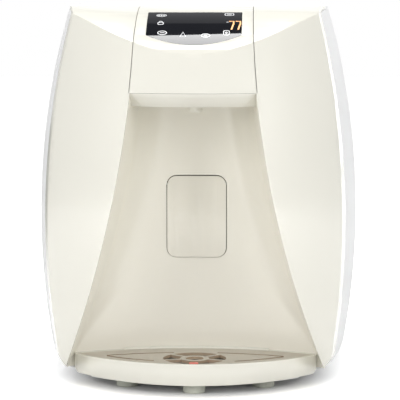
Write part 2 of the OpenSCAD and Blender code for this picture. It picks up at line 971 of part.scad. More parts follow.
// Box behind the liner that holds the pad's pin, the spring and the switch
module pad_bracket() {
  outer_w = pad_width + 2 * bracket_margin + 2 * bracket_wall;
  outer_h = pad_height + 2 * bracket_margin + 2 * bracket_wall;
  color("silver") difference() {
    front_plate(niche_back_y - pad_cut / 2, bracket_depth + pad_cut / 2)
      translate([0, pad_middle]) round_rect(outer_w, outer_h, pad_corner);
    front_plate(niche_back_y - pad_cut, bracket_depth + pad_cut - bracket_wall)
      translate([0, pad_middle])
        round_rect(outer_w - 2 * bracket_wall, outer_h - 2 * bracket_wall, pad_corner - bracket_wall);
    translate([0, niche_axis_y, pad_bottom - pad_cut])
      cylinder(r = niche_back_radius + liner_wall + touch, h = pad_height + 2 * pad_cut);
    translate([0, hinge_y, hinge_z]) along_x(pin_radius + running_play, outer_w + 2 * bite);
    translate([0, bracket_y - bracket_wall - bite, spring_z]) along_y(spring_hole, bracket_wall + 2 * bite);
  }
}

// Push pad: a hollow-curved plate with hinge lugs, a presser rib and a spring seat, leaning at rest
module push_pad() {
  color("wheat") translate([0, hinge_y, hinge_z]) rotate([-pad_lean, 0, 0]) translate([0, -hinge_y, -hinge_z])
    difference() {
      union() {
        intersection() {
          difference() {
            translate([0, niche_axis_y, pad_bottom - bite])
              cylinder(r = niche_back_radius + pad_thickness, h = pad_height + 2 * bite);
            translate([0, niche_axis_y, pad_bottom - 2 * bite])
              cylinder(r = niche_back_radius, h = pad_height + 4 * bite);
          }
          front_plate(niche_back_y - pad_cut, 2 * pad_cut)
            translate([0, pad_middle]) round_rect(pad_width, pad_height, pad_corner);
        }
        for (x = [-1, 1])
          translate([x * lug_x, 0, 0]) {
            translate([0, hinge_y, hinge_z]) along_x(lug_radius, lug_width);
            translate([-lug_width / 2, niche_back_y + pad_thickness / 2, hinge_z - lug_radius])
              cube([lug_width, hinge_y - niche_back_y - pad_thickness / 2, 2 * lug_radius]);
          }
        translate([-presser_width / 2, niche_back_y + pad_thickness / 2, switch_z - presser_height / 2])
          cube([presser_width, presser_y - niche_back_y - pad_thickness / 2, presser_height]);
        translate([0, niche_back_y + pad_thickness / 2, spring_z]) along_y(spring_peg, spring_peg_length);
      }
      translate([0, hinge_y, hinge_z]) along_x(pin_radius + running_play, pad_width);
    }
}

module pad_pin() {
  color("silver") translate([0, hinge_y, hinge_z])
    along_x(pin_radius, pad_width + 2 * bracket_margin + 2 * bracket_wall);
}

// Return spring between the pad and the bracket
module pad_spring() {
  front = niche_back_y + pad_thickness + spring_front;
  length = bracket_y - bracket_wall - touch - front;
  steps = spring_turns * spring_steps;
  run = length - 2 * spring_wire;
  path = [for (i = [0 : steps]) [
    spring_radius * cos(360 * i / spring_steps),
    front + spring_wire / 2 + touch + run * i / steps,
    spring_z + spring_radius * sin(360 * i / spring_steps)]];
  echo(spring_gap = run / spring_turns - spring_wire);
  color("silver") bar_along(path, spring_wire / 2, 6, heading(path, 0), heading(path, steps));
}

// Snap switch that the pad presses, on the bracket's back wall
module pad_switch() {
  color("dimgray") difference() {
    union() {
      front_plate(switch_face_y, switch_deep - touch)
        translate([0, switch_z]) round_rect(switch_width, switch_tall, bite);
      translate([0, switch_face_y - switch_collar_rise, switch_z])
        along_y(plunger_radius + switch_collar, bite);
    }
    translate([0, switch_face_y - bite, switch_z])
      along_y(plunger_radius + running_play, switch_deep - touch);
    for (x = [-1, 1])
      translate([x * switch_hole_x, switch_face_y - bite, switch_z - switch_hole_drop])
        along_y(switch_hole, switch_deep + 2 * bite);
  }
}

module switch_plunger() {
  color("firebrick") translate([0, switch_face_y - plunger_reach, switch_z])
    along_y(plunger_radius, plunger_reach + plunger_root);
}

// Drip tray: a lens-shaped basin with a ledge for the grille and a skirt in front of the base
module drip_tray() {
  color("ivory") difference() {
    intersection() {
      translate([0, 0, skirt_bottom]) linear_extrude(tray_rim_height - skirt_bottom) tray_plan(0);
      front_plate(nose_y, niche_depth + bite)
        intersection() {
          translate([0, skirt_bottom + tray_rim_height])
            round_rect(2 * (tray_tip + bite), 2 * tray_rim_height, skirt_round);
          translate([0, skirt_bottom + skirt_sweep]) circle(skirt_sweep, $fn = fine);
        }
    }
    translate([0, 0, tray_floor]) linear_extrude(tray_rim_height) tray_plan(tray_wall + ledge_width);
    translate([0, 0, grille_low - touch]) linear_extrude(tray_rim_height) tray_plan(tray_wall);
    translate([0, 0, skirt_bottom - bite]) linear_extrude(tray_floor_low - skirt_bottom + bite) difference() {
      translate([0, tray_axis_y]) circle(tray_radius - tray_wall);
      translate([-reach, tray_axis_y]) square([2 * reach, reach]);
    }
  }
  color("ivory") translate([0, float_y, tray_floor - bite])
    cylinder(r = float_post_radius, h = float_post_height + bite);
  color("ivory") translate([0, 0, tray_rim_height - bite]) linear_extrude(bead_height + bite) intersection() {
    difference() {
      translate([0, niche_axis_y]) circle(niche_back_radius - tray_play, $fn = fine);
      translate([0, niche_axis_y]) circle(niche_back_radius - tray_play - tray_wall, $fn = fine);
    }
    translate([-bead_half, niche_axis_y]) square([2 * bead_half, 2 * niche_back_radius]);
  }
}

// Slot along an arc about a centre behind or before it, between two distances from the middle
module arc_slot(centre_y, radius, toward, x_near, x_far) {
  intersection() {
    difference() {
      translate([0, centre_y]) circle(radius + slot_width / 2);
      translate([0, centre_y]) circle(radius - slot_width / 2);
    }
    translate([min(x_near, x_far), toward < 0 ? centre_y - 2 * radius : centre_y])
      square([abs(x_far - x_near), 2 * radius]);
  }
}

// Openings of the grille: a spoked ring round the boss, the float's window and two slots along each wing
module grille_openings() {
  translate([0, spout_y]) difference() {
    circle(ring_radius);
    circle(boss_radius);
    for (angle = spoke_angles)
      rotate(angle) translate([0, -spoke_width / 2]) square([ring_radius + bite, spoke_width]);
  }
  translate([0, float_y]) square([float_width + 2 * tray_play, float_deep + 2 * tray_play], center = true);
  for (side = [-1, 1]) {
    arc_slot(tray_axis_y, front_slot_radius, -1, side * slot_inner_front, side * slot_outer);
    arc_slot(niche_axis_y, back_slot_radius, 1, side * slot_inner_back, side * slot_outer);
  }
}

// Grille that lifts out of the tray, with a dished boss under the spout
module drip_grille() {
  color("tan") difference() {
    translate([0, 0, grille_low]) linear_extrude(grille_thickness) difference() {
      tray_plan(tray_wall + tray_play);
      grille_openings();
    }
    translate([0, spout_y, grille_low + cup_floor]) cylinder(r = cup_radius, h = grille_thickness);
    translate([0, spout_y, grille_low - bite]) cylinder(r = cup_drain, h = grille_thickness + 2 * bite);
  }
}

// Red float that rises through the front opening of the grille when the tray is full
module tray_float() {
  color("red") translate([0, float_y, 0]) difference() {
    translate([0, 0, tray_floor + float_lift]) {
      linear_extrude(float_body_height) round_rect(float_body_width, float_deep, float_corner);
      linear_extrude(tray_rim_height - rim_drop - tray_floor - float_lift)
        round_rect(float_width, float_deep, float_corner);
    }
    translate([0, 0, tray_floor - bite])
      cylinder(r = float_post_radius + tray_play, h = float_post_height + bite + float_head);
  }
}

// Round-ended slot of a given length
module vent(length) {
  round_rect(length, vent_width, (vent_width - vent_flat) / 2);
}

// Slots in the base pan that let air in to the fan
module pan_vents() {
  for (i = [0 : pan_vent_rows - 1])
    translate([fan_x, fan_y - pan_vent_set - i * vent_pitch]) vent(pan_vent_length);
}

// Base pan inside the body, with a lower tongue in front that carries the tray and the front feet
module base_pan() {
  behind_liner = niche_back_radius + liner_wall + touch;
  color("gray") difference() {
    union() {
      difference() {
        intersection() {
          body(wall + touch);
          slab(pan_low + touch, pan_top);
          ahead(back_y - panel_setback);
        }
        niche_space(liner_wall + touch, 0, lip_height);
        linear_extrude(overall_height) pan_vents();
      }
      translate([0, 0, foot_height]) linear_extrude(pan_thickness) intersection() {
        translate([0, tray_axis_y]) circle(tongue_radius);
        translate([0, niche_axis_y]) circle(behind_liner + riser_wall);
        square([2 * (riser_half + tongue_ear), reach], center = true);
      }
      translate([0, 0, foot_height]) linear_extrude(pan_top - foot_height) intersection() {
        difference() {
          translate([0, niche_axis_y]) circle(behind_liner + riser_wall);
          translate([0, niche_axis_y]) circle(behind_liner);
        }
        translate([-riser_half, niche_axis_y]) square([2 * riser_half, reach]);
      }
      for (x = [-1, 1])
        translate([x * rear_foot_spread, rear_foot_y, foot_height])
          cylinder(d = foot_diameter + foot_boss, h = pan_low - foot_height + bite);
    }
    for (x = [-1, 1])
      translate([x * rear_foot_spread, rear_foot_y, 0])
        cylinder(r = foot_screw, h = pan_top + bite);
  }
}

// Rubber foot with a chamfered tread
module foot() {
  rotate_extrude() polygon([
    [0, 0], [foot_diameter / 2 - foot_chamfer, 0], [foot_diameter / 2, foot_chamfer],
    [foot_diameter / 2, foot_height], [0, foot_height]]);
}

module front_feet() {
  color("darkseagreen") {
    translate([0, front_foot_y, 0]) foot();
    for (x = [-1, 1])
      translate([x * front_foot_spread, outer_foot_y, 0]) foot();
  }
}

module rear_feet() {
  color("darkseagreen")
    for (x = [-1, 1])
      translate([x * rear_foot_spread, rear_foot_y, 0]) foot();
}

// Places of the panel's screws on both sides
module at_screws() {
  for (side = [-1, 1], z = screw_heights)
    translate([side * (side_x(back_y, z) - wall - screw_edge), panel_y, z]) children();
}

// Grey wrap round the sides, the back edge and the rear of the top
module rear_housing() {
  color("gainsboro") difference() {
    union() {
      intersection() {
        skin();
        union() {
          behind(top_seam_y + seam);
          intersection() {
            front_barrel(0, shell_return + seam);
            below_top(wall + seam);
          }
        }
      }
      intersection() {
        body(wall / 2);
        union() {
          at_screws() translate([0, -boss_length, 0]) along_y(boss_outer, boss_length - touch);
          for (side = [-1, 1], z = screw_heights)
            translate([side * side_x(back_y, z), panel_y - boss_length / 2 - touch, z])
              cube([2 * (wall + screw_edge), boss_length, wall], center = true);
        }
      }
    }
    niche_space(liner_wall + touch, 0, lip_height);
    at_screws() translate([0, boss_floor - boss_length, 0]) along_y(screw_radius + running_play, boss_length);
  }
}

// Rows of round-ended slots in the rear panel, in front of the condenser
module rear_vents() {
  rows = floor((condenser_height - coil_end) / vent_pitch) - 1;
  for (i = [0 : rows])
    translate([fan_x, pan_top + coil_end + i * vent_pitch]) vent(fan_size);
}

// Rear panel with its vents and the holes for the fittings
module rear_panel() {
  color("lightgray") difference() {
    intersection() {
      body(wall + seam);
      translate([-reach, panel_y, pan_top + seam]) cube([2 * reach, panel_thickness, reach]);
    }
    front_plate(panel_y - bite, panel_thickness + 2 * bite) {
      rear_vents();
      translate([inlet_x, inlet_z]) circle(inlet_body_radius + touch);
      translate([hot_x, drain_z]) circle(drain_radius + touch);
      translate([socket_x, socket_z])
        round_rect(socket_width + 2 * touch, socket_height + 2 * touch, socket_corner);
      translate([socket_x, rocker_z])
        square([rocker_width, rocker_height] + 2 * (rocker_wall + touch) * [1, 1], center = true);
    }
    at_screws() translate([0, -bite, 0]) along_y(screw_radius + touch, panel_thickness + 2 * bite);
  }
}

// Round-headed screws that hold the rear panel
module panel_screws() {
  color("silver") at_screws() {
    translate([0, panel_thickness, 0]) along_y(screw_head_radius, screw_head);
    translate([0, panel_thickness - screw_length, 0]) along_y(screw_radius, screw_length + bite / 2);
  }
}

// Folded steel shelf on two side plates, with a flange for the control board
module tank_shelf() {
  depth = shelf_rear - shelf_front;
  leg_middle = (shelf_low + pan_top) / 2;
  tab_half = filter_radius + 2 * filter_cup;
  color("lightsteelblue") difference() {
    union() {
      translate([-shelf_half, shelf_front, shelf_low]) cube([2 * shelf_half, depth, shelf_wall]);
      for (side = [-1, 1])
        translate([side * (shelf_half - shelf_wall / 2) - shelf_wall / 2, shelf_front, pan_top])
          cube([shelf_wall, depth, shelf_height - pan_top]);
      translate([-board_flange_half, shelf_front, shelf_low])
        cube([2 * board_flange_half, shelf_wall, board_flange_top - shelf_low]);
      translate([filter_x - tab_half, shelf_rear - bite, shelf_low])
        cube([2 * tab_half, filter_y + tab_half - shelf_rear, shelf_wall]);
      for (x = [-1, 1], z = [shelf_height + standoff_low, board_flange_top - standoff_high])
        translate([x * (board_flange_half - standoff_inset), shelf_front - standoff, z])
          along_y(standoff_radius, standoff + bite);
    }
    translate([-reach / 2, shelf_front + depth / 2, leg_middle]) rotate([90, 0, 90])
      linear_extrude(reach) round_rect(depth - 2 * leg_sill, shelf_low - pan_top - 2 * leg_frame, leg_corner);
    translate([cold_x, cold_y - suction_entry, shelf_low - bite])
      cylinder(r = line_radius + 3 * line_wall, h = shelf_wall + 2 * bite);
  }
}

// Welded compressor shell on a foot plate, with two line stubs
module compressor() {
  color("black") {
    translate([compressor_x, compressor_y, compressor_low]) {
      rotate_extrude() {
        intersection() {
          union() {
            translate([0, compressor_plate / 2])
              square([compressor_radius, compressor_height - compressor_shoulder - compressor_plate / 2]);
            translate([0, compressor_height - compressor_shoulder])
              square([compressor_radius - compressor_shoulder, compressor_shoulder]);
            translate([compressor_radius - compressor_shoulder, compressor_height - compressor_shoulder])
              circle(compressor_shoulder);
          }
          square([compressor_radius, compressor_height]);
        }
        translate([0, compressor_height / 2])
          square([compressor_radius + compressor_seam, 2 * compressor_seam]);
      }
      difference() {
        linear_extrude(compressor_plate) round_rect(2 * plate_half, 2 * plate_half, plate_corner);
        for (x = [-1, 1], y = [-1, 1])
          translate([x * grommet_spread, y * grommet_spread, -bite])
            cylinder(r = grommet_hole, h = compressor_plate + 2 * bite);
      }
    }
    translate([compressor_x + discharge_offset, compressor_y, discharge_z])
      along_y(line_radius + line_wall, compressor_radius + stub_length);
    translate([compressor_x, compressor_y - compressor_radius - stub_length, suction_z])
      along_y(line_radius + line_wall, compressor_radius + stub_length);
  }
}

// Rubber grommets between the compressor's plate and the pan
module compressor_grommets() {
  color("dimgray")
    for (x = [-1, 1], y = [-1, 1])
      translate([compressor_x + x * grommet_spread, compressor_y + y * grommet_spread, pan_top])
        rotate_extrude() polygon([
          [0, 0], [grommet_radius, 0], [grommet_radius, grommet_collar],
          [grommet_radius - grommet_neck, grommet_height / 2],
          [grommet_radius, grommet_height - grommet_collar], [grommet_radius, grommet_height],
          [0, grommet_height]]);
}

// Condenser: a pack of upright fins on cross tubes between two end plates
module condenser() {
  fins = floor((condenser_width - 2 * fin_end) / fin_pitch);
  coil_step = (condenser_height - 2 * coil_end) / (coil_rows - 1);
  color("silver") {
    for (i = [0 : fins])
      translate([condenser_left + fin_end + i * fin_pitch, condenser_y, pan_top + fin_lift])
        cube([fin_thickness, condenser_depth, condenser_height - fin_lift]);
    for (side = [0, 1])
      translate([condenser_left + side * (condenser_width - fin_end), condenser_y, pan_top])
        cube([fin_end, condenser_depth, condenser_height]);
    for (i = [0 : coil_rows - 1])
      translate([fan_x, condenser_y + condenser_depth / 2, pan_top + coil_end + i * coil_step])
        along_x(line_radius + coil_bead, condenser_width);
    translate([condenser_left - stub_length / 2, condenser_y + condenser_depth / 2, condenser_port_z])
      along_x(line_radius + line_wall, stub_length);
  }
}

// Square fan frame with three arms that hold the motor's seat
module fan_frame() {
  color("black") translate([fan_x, fan_y, fan_z]) {
    front_plate(0, fan_depth) difference() {
      round_rect(fan_size, fan_size, fan_corner);
      circle(fan_opening);
      for (x = [-1, 1], y = [-1, 1])
        translate([x, y] * (fan_size / 2 - fan_corner)) circle(fan_hole);
    }
    front_plate(0, fan_plate) {
      circle(fan_hub_radius - bite);
      for (i = [0 : 2])
        rotate(120 * i + 90) translate([0, -fan_arm / 2]) square([fan_opening + fan_rim / 2, fan_arm]);
    }
    along_y(shaft_radius, shaft_length);
  }
}

// Blade from the hub outwards, set across the air flow
module fan_blade() {
  intersection() {
    translate([0, 0, fan_hub_radius - blade_root]) rotate([0, 0, blade_twist])
      translate([-blade_thickness / 2, -blade_chord / 2, 0]) cube([blade_thickness, blade_chord, fan_opening]);
    rotate([90, 0, 0]) cylinder(r = fan_opening - fan_clearance, h = 2 * fan_depth, center = true);
  }
}

// Turning hub and blades, on the shaft of the frame
module fan_rotor() {
  hub = fan_depth - 2 * fan_plate;
  color("dimgray") translate([fan_x, fan_y + fan_plate + fan_gap, fan_z]) difference() {
    union() {
      along_y(fan_hub_radius, hub);
      for (i = [0 : fan_blades - 1])
        rotate([0, i * 360 / fan_blades, 0]) translate([0, hub / 2, 0]) fan_blade();
    }
    translate([0, -bite, 0]) along_y(shaft_radius + running_play, bearing_length + bite);
  }
}

// Refrigerant lines
module discharge_line() {
  start = [compressor_x + discharge_offset, compressor_y + compressor_radius + stub_length, discharge_z];
  end = [condenser_left - stub_length, condenser_y + condenser_depth / 2, condenser_port_z];
  color("peru") hose([start, start + [0, line_bend, 0], end - [line_bend, 0, 0], end], line_radius);
}

module suction_line() {
  start = [compressor_x, compressor_y - compressor_radius - stub_length, suction_z];
  end = [cold_x, cold_y - suction_entry, shelf_low - stub_length];
  color("peru") hose([start, start - [0, line_bend, 0], end - [0, 0, line_rise], end], line_radius);
}

// Foam cup round a tank, with a floor
module jacket(radius, foam, height) {
  difference() {
    cylinder(r = radius + foam, h = height);
    translate([0, 0, jacket_floor]) cylinder(r = radius + touch, h = height);
  }
}

// Steel tank with rounded lower edge and a rolled rim
module tank(radius, height) {
  rotate_extrude() difference() {
    union() {
      translate([0, tank_edge]) square([radius, height - tank_edge]);
      square([radius - tank_edge, height]);
      translate([radius - tank_edge, tank_edge]) circle(tank_edge);
    }
    translate([-bite, tank_edge]) square([radius - tank_wall + bite, height]);
    translate([0, tank_wall]) square([radius - tank_edge, height]);
  }
}

module cold_jacket() {
  color("white") translate([cold_x, cold_y, shelf_height]) {
    jacket(cold_radius, cold_foam, cold_height);
    translate([0, -suction_entry, -shelf_wall - stub_length])
      cylinder(r = line_radius + line_wall, h = shelf_wall + stub_length + bite);
  }
}

module cold_tank() {
  color("lightsteelblue") translate([cold_x, cold_y, shelf_height + jacket_floor + touch])
    tank(cold_radius, cold_height - jacket_floor - touch);
}

// Tank lid with a raised boss, a long stub to the front and short stubs pointing the given ways
module tank_lid(radius, ways) {
  cylinder(r = radius, h = lid_thickness);
  cylinder(r = radius / 2, h = lid_thickness + lid_top);
  translate([0, 0, lid_thickness + lid_port_z]) {
    rotate(180) along_y(port_radius, radius + stub_length);
    for (way = ways)
      rotate(way) along_y(port_radius, radius / 2 + stub_length);
  }
}

module cold_lid() {
  color("white") translate([cold_x, cold_y, shelf_height + cold_height])
    tank_lid(cold_outer, [0, -90]);
}

module hot_jacket() {
  color("khaki") translate([hot_x, hot_y, shelf_height]) difference() {
    jacket(hot_radius, hot_foam, hot_height);
    translate([0, 0, drain_rise]) along_y(port_radius + line_wall + touch, hot_outer + bite);
  }
}

module hot_tank() {
  color("silver") translate([hot_x, hot_y, shelf_height + jacket_floor + touch]) {
    tank(hot_radius, hot_height - jacket_floor - touch);
    translate([0, hot_radius - tank_wall, drain_rise - jacket_floor - touch])
      along_y(port_radius + line_wall, hot_foam + stub_length);
  }
}

module hot_lid() {
  color("white") translate([hot_x, hot_y, shelf_height + hot_height]) tank_lid(hot_outer, [90]);
}

// Filter cartridge with a foot flange and a grip ring, standing on the shelf's tab
module filter_cartridge() {
  color("white") translate([filter_x, filter_y, shelf_height]) rotate_extrude() {
    square([filter_radius + filter_cup, filter_cup]);
    square([filter_radius, filter_height]);
    translate([0, filter_height - filter_ring_drop]) square([filter_radius + filter_ring, filter_ring_height]);
  }
}

module filter_head() {
  color("royalblue") translate([filter_x, filter_y, shelf_height + filter_height]) {
    cylinder(r = filter_radius + filter_cap, h = filter_cap_height);
    translate([0, 0, filter_cap_height / 2]) along_x(port_radius, 2 * filter_port_x);
  }
}

// Water inlet through the rear panel: a nut inside, a flange outside and a bore for the tube
module inlet_fitting() {
  inside = panel_y - inlet_tail;
  color("whitesmoke") difference() {
    union() {
      translate([inlet_x, inside, inlet_z]) along_y(inlet_body_radius, overall_depth / 2 - inside);
      translate([inlet_x, panel_y - touch - inlet_nut, inlet_z]) along_y(inlet_nut_radius, inlet_nut, $fn = 6);
      translate([inlet_x, panel_y + panel_thickness + touch, inlet_z]) along_y(inlet_nut_radius, inlet_flange);
    }
    translate([inlet_x, panel_y - inlet_seat, inlet_z]) along_y(inlet_bore / 2, reach);
    translate([inlet_x, inside - bite, inlet_z]) along_y(inlet_bore / 2 - inlet_step, inlet_tail + 2 * bite);
  }
}

module inlet_hose() {
  start = [inlet_x, panel_y - inlet_tail, inlet_z];
  end = [filter_x + filter_port_x, filter_y, filter_port_z];
  color("white") hose([start, start - [0, hose_sweep, 0], end + [hose_bend, 0, 0], end], hose_radius);
}

module feed_hose() {
  start = [filter_x - filter_port_x, filter_y, filter_port_z];
  end = [cold_x, cold_y + cold_outer / 2 + stub_length, lid_port(cold_height)];
  color("white") hose([start, start - [hose_sweep, 0, 0], end + [0, hose_sweep, 0], end], hose_radius);
}

// Height of the ports on a lid above a jacket of the given height
function lid_port(height) = shelf_height + height + lid_thickness + lid_port_z;

module transfer_hose() {
  start = [cold_x + cold_outer / 2 + stub_length, cold_y, lid_port(cold_height)];
  end = [hot_x - hot_outer / 2 - stub_length, hot_y, lid_port(hot_height)];
  color("white") hose([start, start + [hose_bend, 0, 0], end - [hose_bend, 0, 0], end], hose_radius);
}

module cold_hose() {
  start = [cold_x, cold_y - cold_outer - stub_length, lid_port(cold_height)];
  end = [-port_spread, spout_y + block_rear + port_length, port_height];
  color("white") hose([start, start - [0, hose_bend, 0], end + [0, hose_bend, 0], end], hose_radius);
}

module hot_hose() {
  start = [hot_x, hot_y - hot_outer - stub_length, lid_port(hot_height)];
  end = [port_spread, spout_y + block_rear + port_length, port_height];
  color("white") hose([start, start - [0, hose_bend, 0], end + [0, hose_bend, 0], end], hose_radius);
}

// Straight drain from the hot tank to the back
module drain_hose() {
  start = hot_y + hot_outer + stub_length - tank_wall;
  color("white") translate([hot_x, start, drain_z]) along_y(hose_radius, panel_y - drain_tail - start);
}

module drain_spigot() {
  color("whitesmoke") {
    translate([hot_x, panel_y - drain_tail, drain_z])
      along_y(drain_radius, drain_tail + panel_thickness + drain_tip);
    translate([hot_x, panel_y - touch - drain_collar_height, drain_z])
      along_y(drain_radius + drain_collar, drain_collar_height);
  }
}

// Silicone cap on the drain
module drain_cap() {
  start = panel_y + panel_thickness + touch;
  color("dimgray") difference() {
    translate([hot_x, start, drain_z]) along_y(drain_radius + cap_wall, cap_length);
    translate([hot_x, start - bite, drain_z]) along_y(drain_radius + cap_play, cap_length - cap_floor + bite);
  }
}

// Control board on the shelf's flange, with its larger components
module control_board() {
  face = shelf_front - standoff - touch - board_thickness;
  middle = shelf_height + board_flange_height / 2;
  color("seagreen") {
    front_plate(face, board_thickness) translate([0, middle])
      round_rect(2 * (board_flange_half - board_edge), board_flange_height - 4 * board_edge, board_edge);
    for (i = [-1 : 1])
      translate([i * part_pitch, face - relay_deep / 2, middle - part_row])
        cube([relay_width, relay_deep + bite, relay_height], center = true);
    for (i = [-1 : 1])
      translate([i * part_pitch, face - relay_deep, middle + part_row])
        along_y(capacitor_radius, relay_deep + bite / 2);
  }
}

// Closed power supply on the base pan
module power_supply() {
  color("silver") translate([-supply_half, supply_low_y, pan_top]) difference() {
    cube([2 * supply_half, supply_deep, supply_height]);
    for (i = [0 : supply_slots - 1])
      translate([supply_first + i * supply_slot_pitch, -bite, supply_border])
        cube([supply_slot, supply_deep + 2 * bite, supply_height - 2 * supply_border]);
  }
}

// Mains inlet: a flanged socket with three blades
module power_inlet() {
  face = panel_y + panel_thickness + touch;
  pocket_w = socket_width - 2 * socket_wall;
  pocket_h = socket_height - 2 * socket_wall;
  color("black") difference() {
    union() {
      front_plate(face, flange_thickness)
        translate([socket_x, socket_z]) round_rect(flange_width, flange_height, flange_corner);
      front_plate(face - socket_deep, socket_deep + bite)
        translate([socket_x, socket_z]) round_rect(socket_width, socket_height, socket_corner);
    }
    front_plate(face - socket_deep + 2 * socket_wall, socket_deep + flange_thickness)
      translate([socket_x, socket_z]) round_rect(pocket_w, pocket_h, socket_corner);
  }
  color("silver")
    for (p = blade_places)
      translate([socket_x + p[0] - blade_width / 2, face - socket_deep + socket_wall,
        socket_z + p[1] - blade_height / 2])
        cube([blade_width, socket_deep - socket_wall - blade_recess, blade_height]);
}

// Frame of the mains switch
module switch_bezel() {
  face = panel_y + panel_thickness + touch;
  outer_w = rocker_width + 2 * rocker_wall;
  outer_h = rocker_height + 2 * rocker_wall;
  color("black") difference() {
    union() {
      front_plate(face, bezel_rim)
        translate([socket_x, rocker_z])
          round_rect(outer_w + 2 * bezel_rim, outer_h + 2 * bezel_rim, bezel_corner);
      front_plate(face - rocker_deep, rocker_deep + bite)
        translate([socket_x, rocker_z]) square([outer_w, outer_h], center = true);
    }
    front_plate(face - rocker_deep + rocker_wall, rocker_deep + bezel_rim)
      translate([socket_x, rocker_z]) square([rocker_width, rocker_height], center = true);
    translate([socket_x, face - rocker_lip, rocker_z])
      along_x(rocker_pin + running_play, outer_w - rocker_wall / 2);
  }
}

// Rocker on its two trunnions, tilted to off at rest
module power_rocker() {
  face = panel_y + panel_thickness + touch;
  half = rocker_height / 2 - rocker_end;
  crest = rocker_lip + rocker_crest;
  width = rocker_width - 2 * rocker_play;
  color("darkred") translate([socket_x, face - rocker_lip, rocker_z]) rotate([rocker_tilt, 0, 0]) {
    along_x(rocker_pin, rocker_width + 2 * rocker_wall - rocker_wall / 2 - rocker_play);
    rotate([90, 0, 90]) translate([0, 0, -width / 2]) linear_extrude(width) polygon([
      [-rocker_keel, 0], [rocker_cheek, -half], [crest, -half],
      [rocker_lip + rocker_dip, 0], [crest, half], [rocker_cheek, half]]);
  }
}

left_cheek();
right_cheek();
head_cover();
control_glass();
touch_board();
spout_housing();
spout_nozzle();
valve_block();
valve_coils();
niche_liner();
pad_bracket();
push_pad();
pad_pin();
pad_spring();
pad_switch();
switch_plunger();
drip_tray();
drip_grille();
tray_float();
base_pan();
front_feet();
rear_feet();
rear_housing();
rear_panel();
panel_screws();
tank_shelf();
compressor();
compressor_grommets();
condenser();
fan_frame();
fan_rotor();
discharge_line();
suction_line();
cold_jacket();
cold_tank();
cold_lid();
hot_jacket();
hot_tank();
hot_lid();
filter_cartridge();
filter_head();
inlet_fitting();
inlet_hose();
feed_hose();
transfer_hose();
cold_hose();
hot_hose();
drain_hose();
drain_spigot();
drain_cap();
control_board();
power_supply();
power_inlet();
switch_bezel();
power_rocker();
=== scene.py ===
"""Dresses a countertop water cooler: its finishes, its rounded niche, the signs of its panel, its studio."""

import math

import bmesh
import bpy
import numpy
from bpy.props import FloatProperty, FloatVectorProperty, IntProperty, PointerProperty
from mathutils import Euler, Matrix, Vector
from mathutils.bvhtree import BVHTree


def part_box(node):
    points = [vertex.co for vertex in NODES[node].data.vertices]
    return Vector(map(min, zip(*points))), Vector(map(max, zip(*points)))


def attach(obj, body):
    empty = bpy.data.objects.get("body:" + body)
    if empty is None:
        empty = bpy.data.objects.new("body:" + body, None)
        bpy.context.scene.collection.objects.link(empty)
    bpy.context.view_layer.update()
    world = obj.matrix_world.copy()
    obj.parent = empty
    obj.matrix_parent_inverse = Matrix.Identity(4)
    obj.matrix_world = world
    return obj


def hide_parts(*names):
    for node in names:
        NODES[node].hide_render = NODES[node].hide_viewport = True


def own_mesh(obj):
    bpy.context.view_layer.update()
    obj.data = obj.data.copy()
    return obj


bl_info = {
    "name": "Countertop Water Cooler",
    "version": (1, 0, 0),
    "blender": (4, 5, 0),
    "location": "View3D > Sidebar > Cooler",
    "description": "Finishes and fine pieces of a countertop water cooler, over its packed frame",
    "category": "Object",
}

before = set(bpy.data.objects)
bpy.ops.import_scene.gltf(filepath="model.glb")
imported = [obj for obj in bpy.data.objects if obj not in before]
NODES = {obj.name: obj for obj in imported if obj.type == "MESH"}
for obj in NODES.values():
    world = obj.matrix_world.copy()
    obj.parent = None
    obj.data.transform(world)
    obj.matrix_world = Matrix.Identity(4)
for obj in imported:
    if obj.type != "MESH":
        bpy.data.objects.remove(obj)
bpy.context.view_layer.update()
MM = 0.001
FIXED = "cabinet"

# Depths below the grille's top where the painted shade of the slots starts and is full
SLOT_SHADE_START, SLOT_SHADE_FULL = 0.00005, 0.00010
# Radii between which the painted dark spot of shade in the grille's boss fades
HOLE_SHADE_OUTER, HOLE_SHADE_INNER = 0.0050, 0.0042
# Middle of the grille's boss, seen from above
BOSS = (0.0005, -0.1425)
# Rows of faces of the niche below, beside and above the pad's opening, and columns over half the opening
ROWS_LOW, ROWS_MIDDLE, ROWS_HIGH, HALF_COLUMNS = 40, 30, 30, 10
# Points of a niche row outside the opening, on each side
OUTER_COLUMNS = 64
# Steps of a turn and sides of the wire of the pad's spring
COIL_STEPS, COIL_SIDES = 28, 10
# Round of the edges of the shells, the tray and the pad
EDGE_ROUND = 0.0006


# Settings

def colour(title, text, value):
    """A colour that a user may change."""
    return FloatVectorProperty(name=title, description=text, default=value, size=3, min=0.0, max=1.0,
                               subtype="COLOR")


def length(title, text, value):
    """A length in metres that a user may change."""
    return FloatProperty(name=title, description=text, default=value, min=0.0, unit="LENGTH", precision=5)


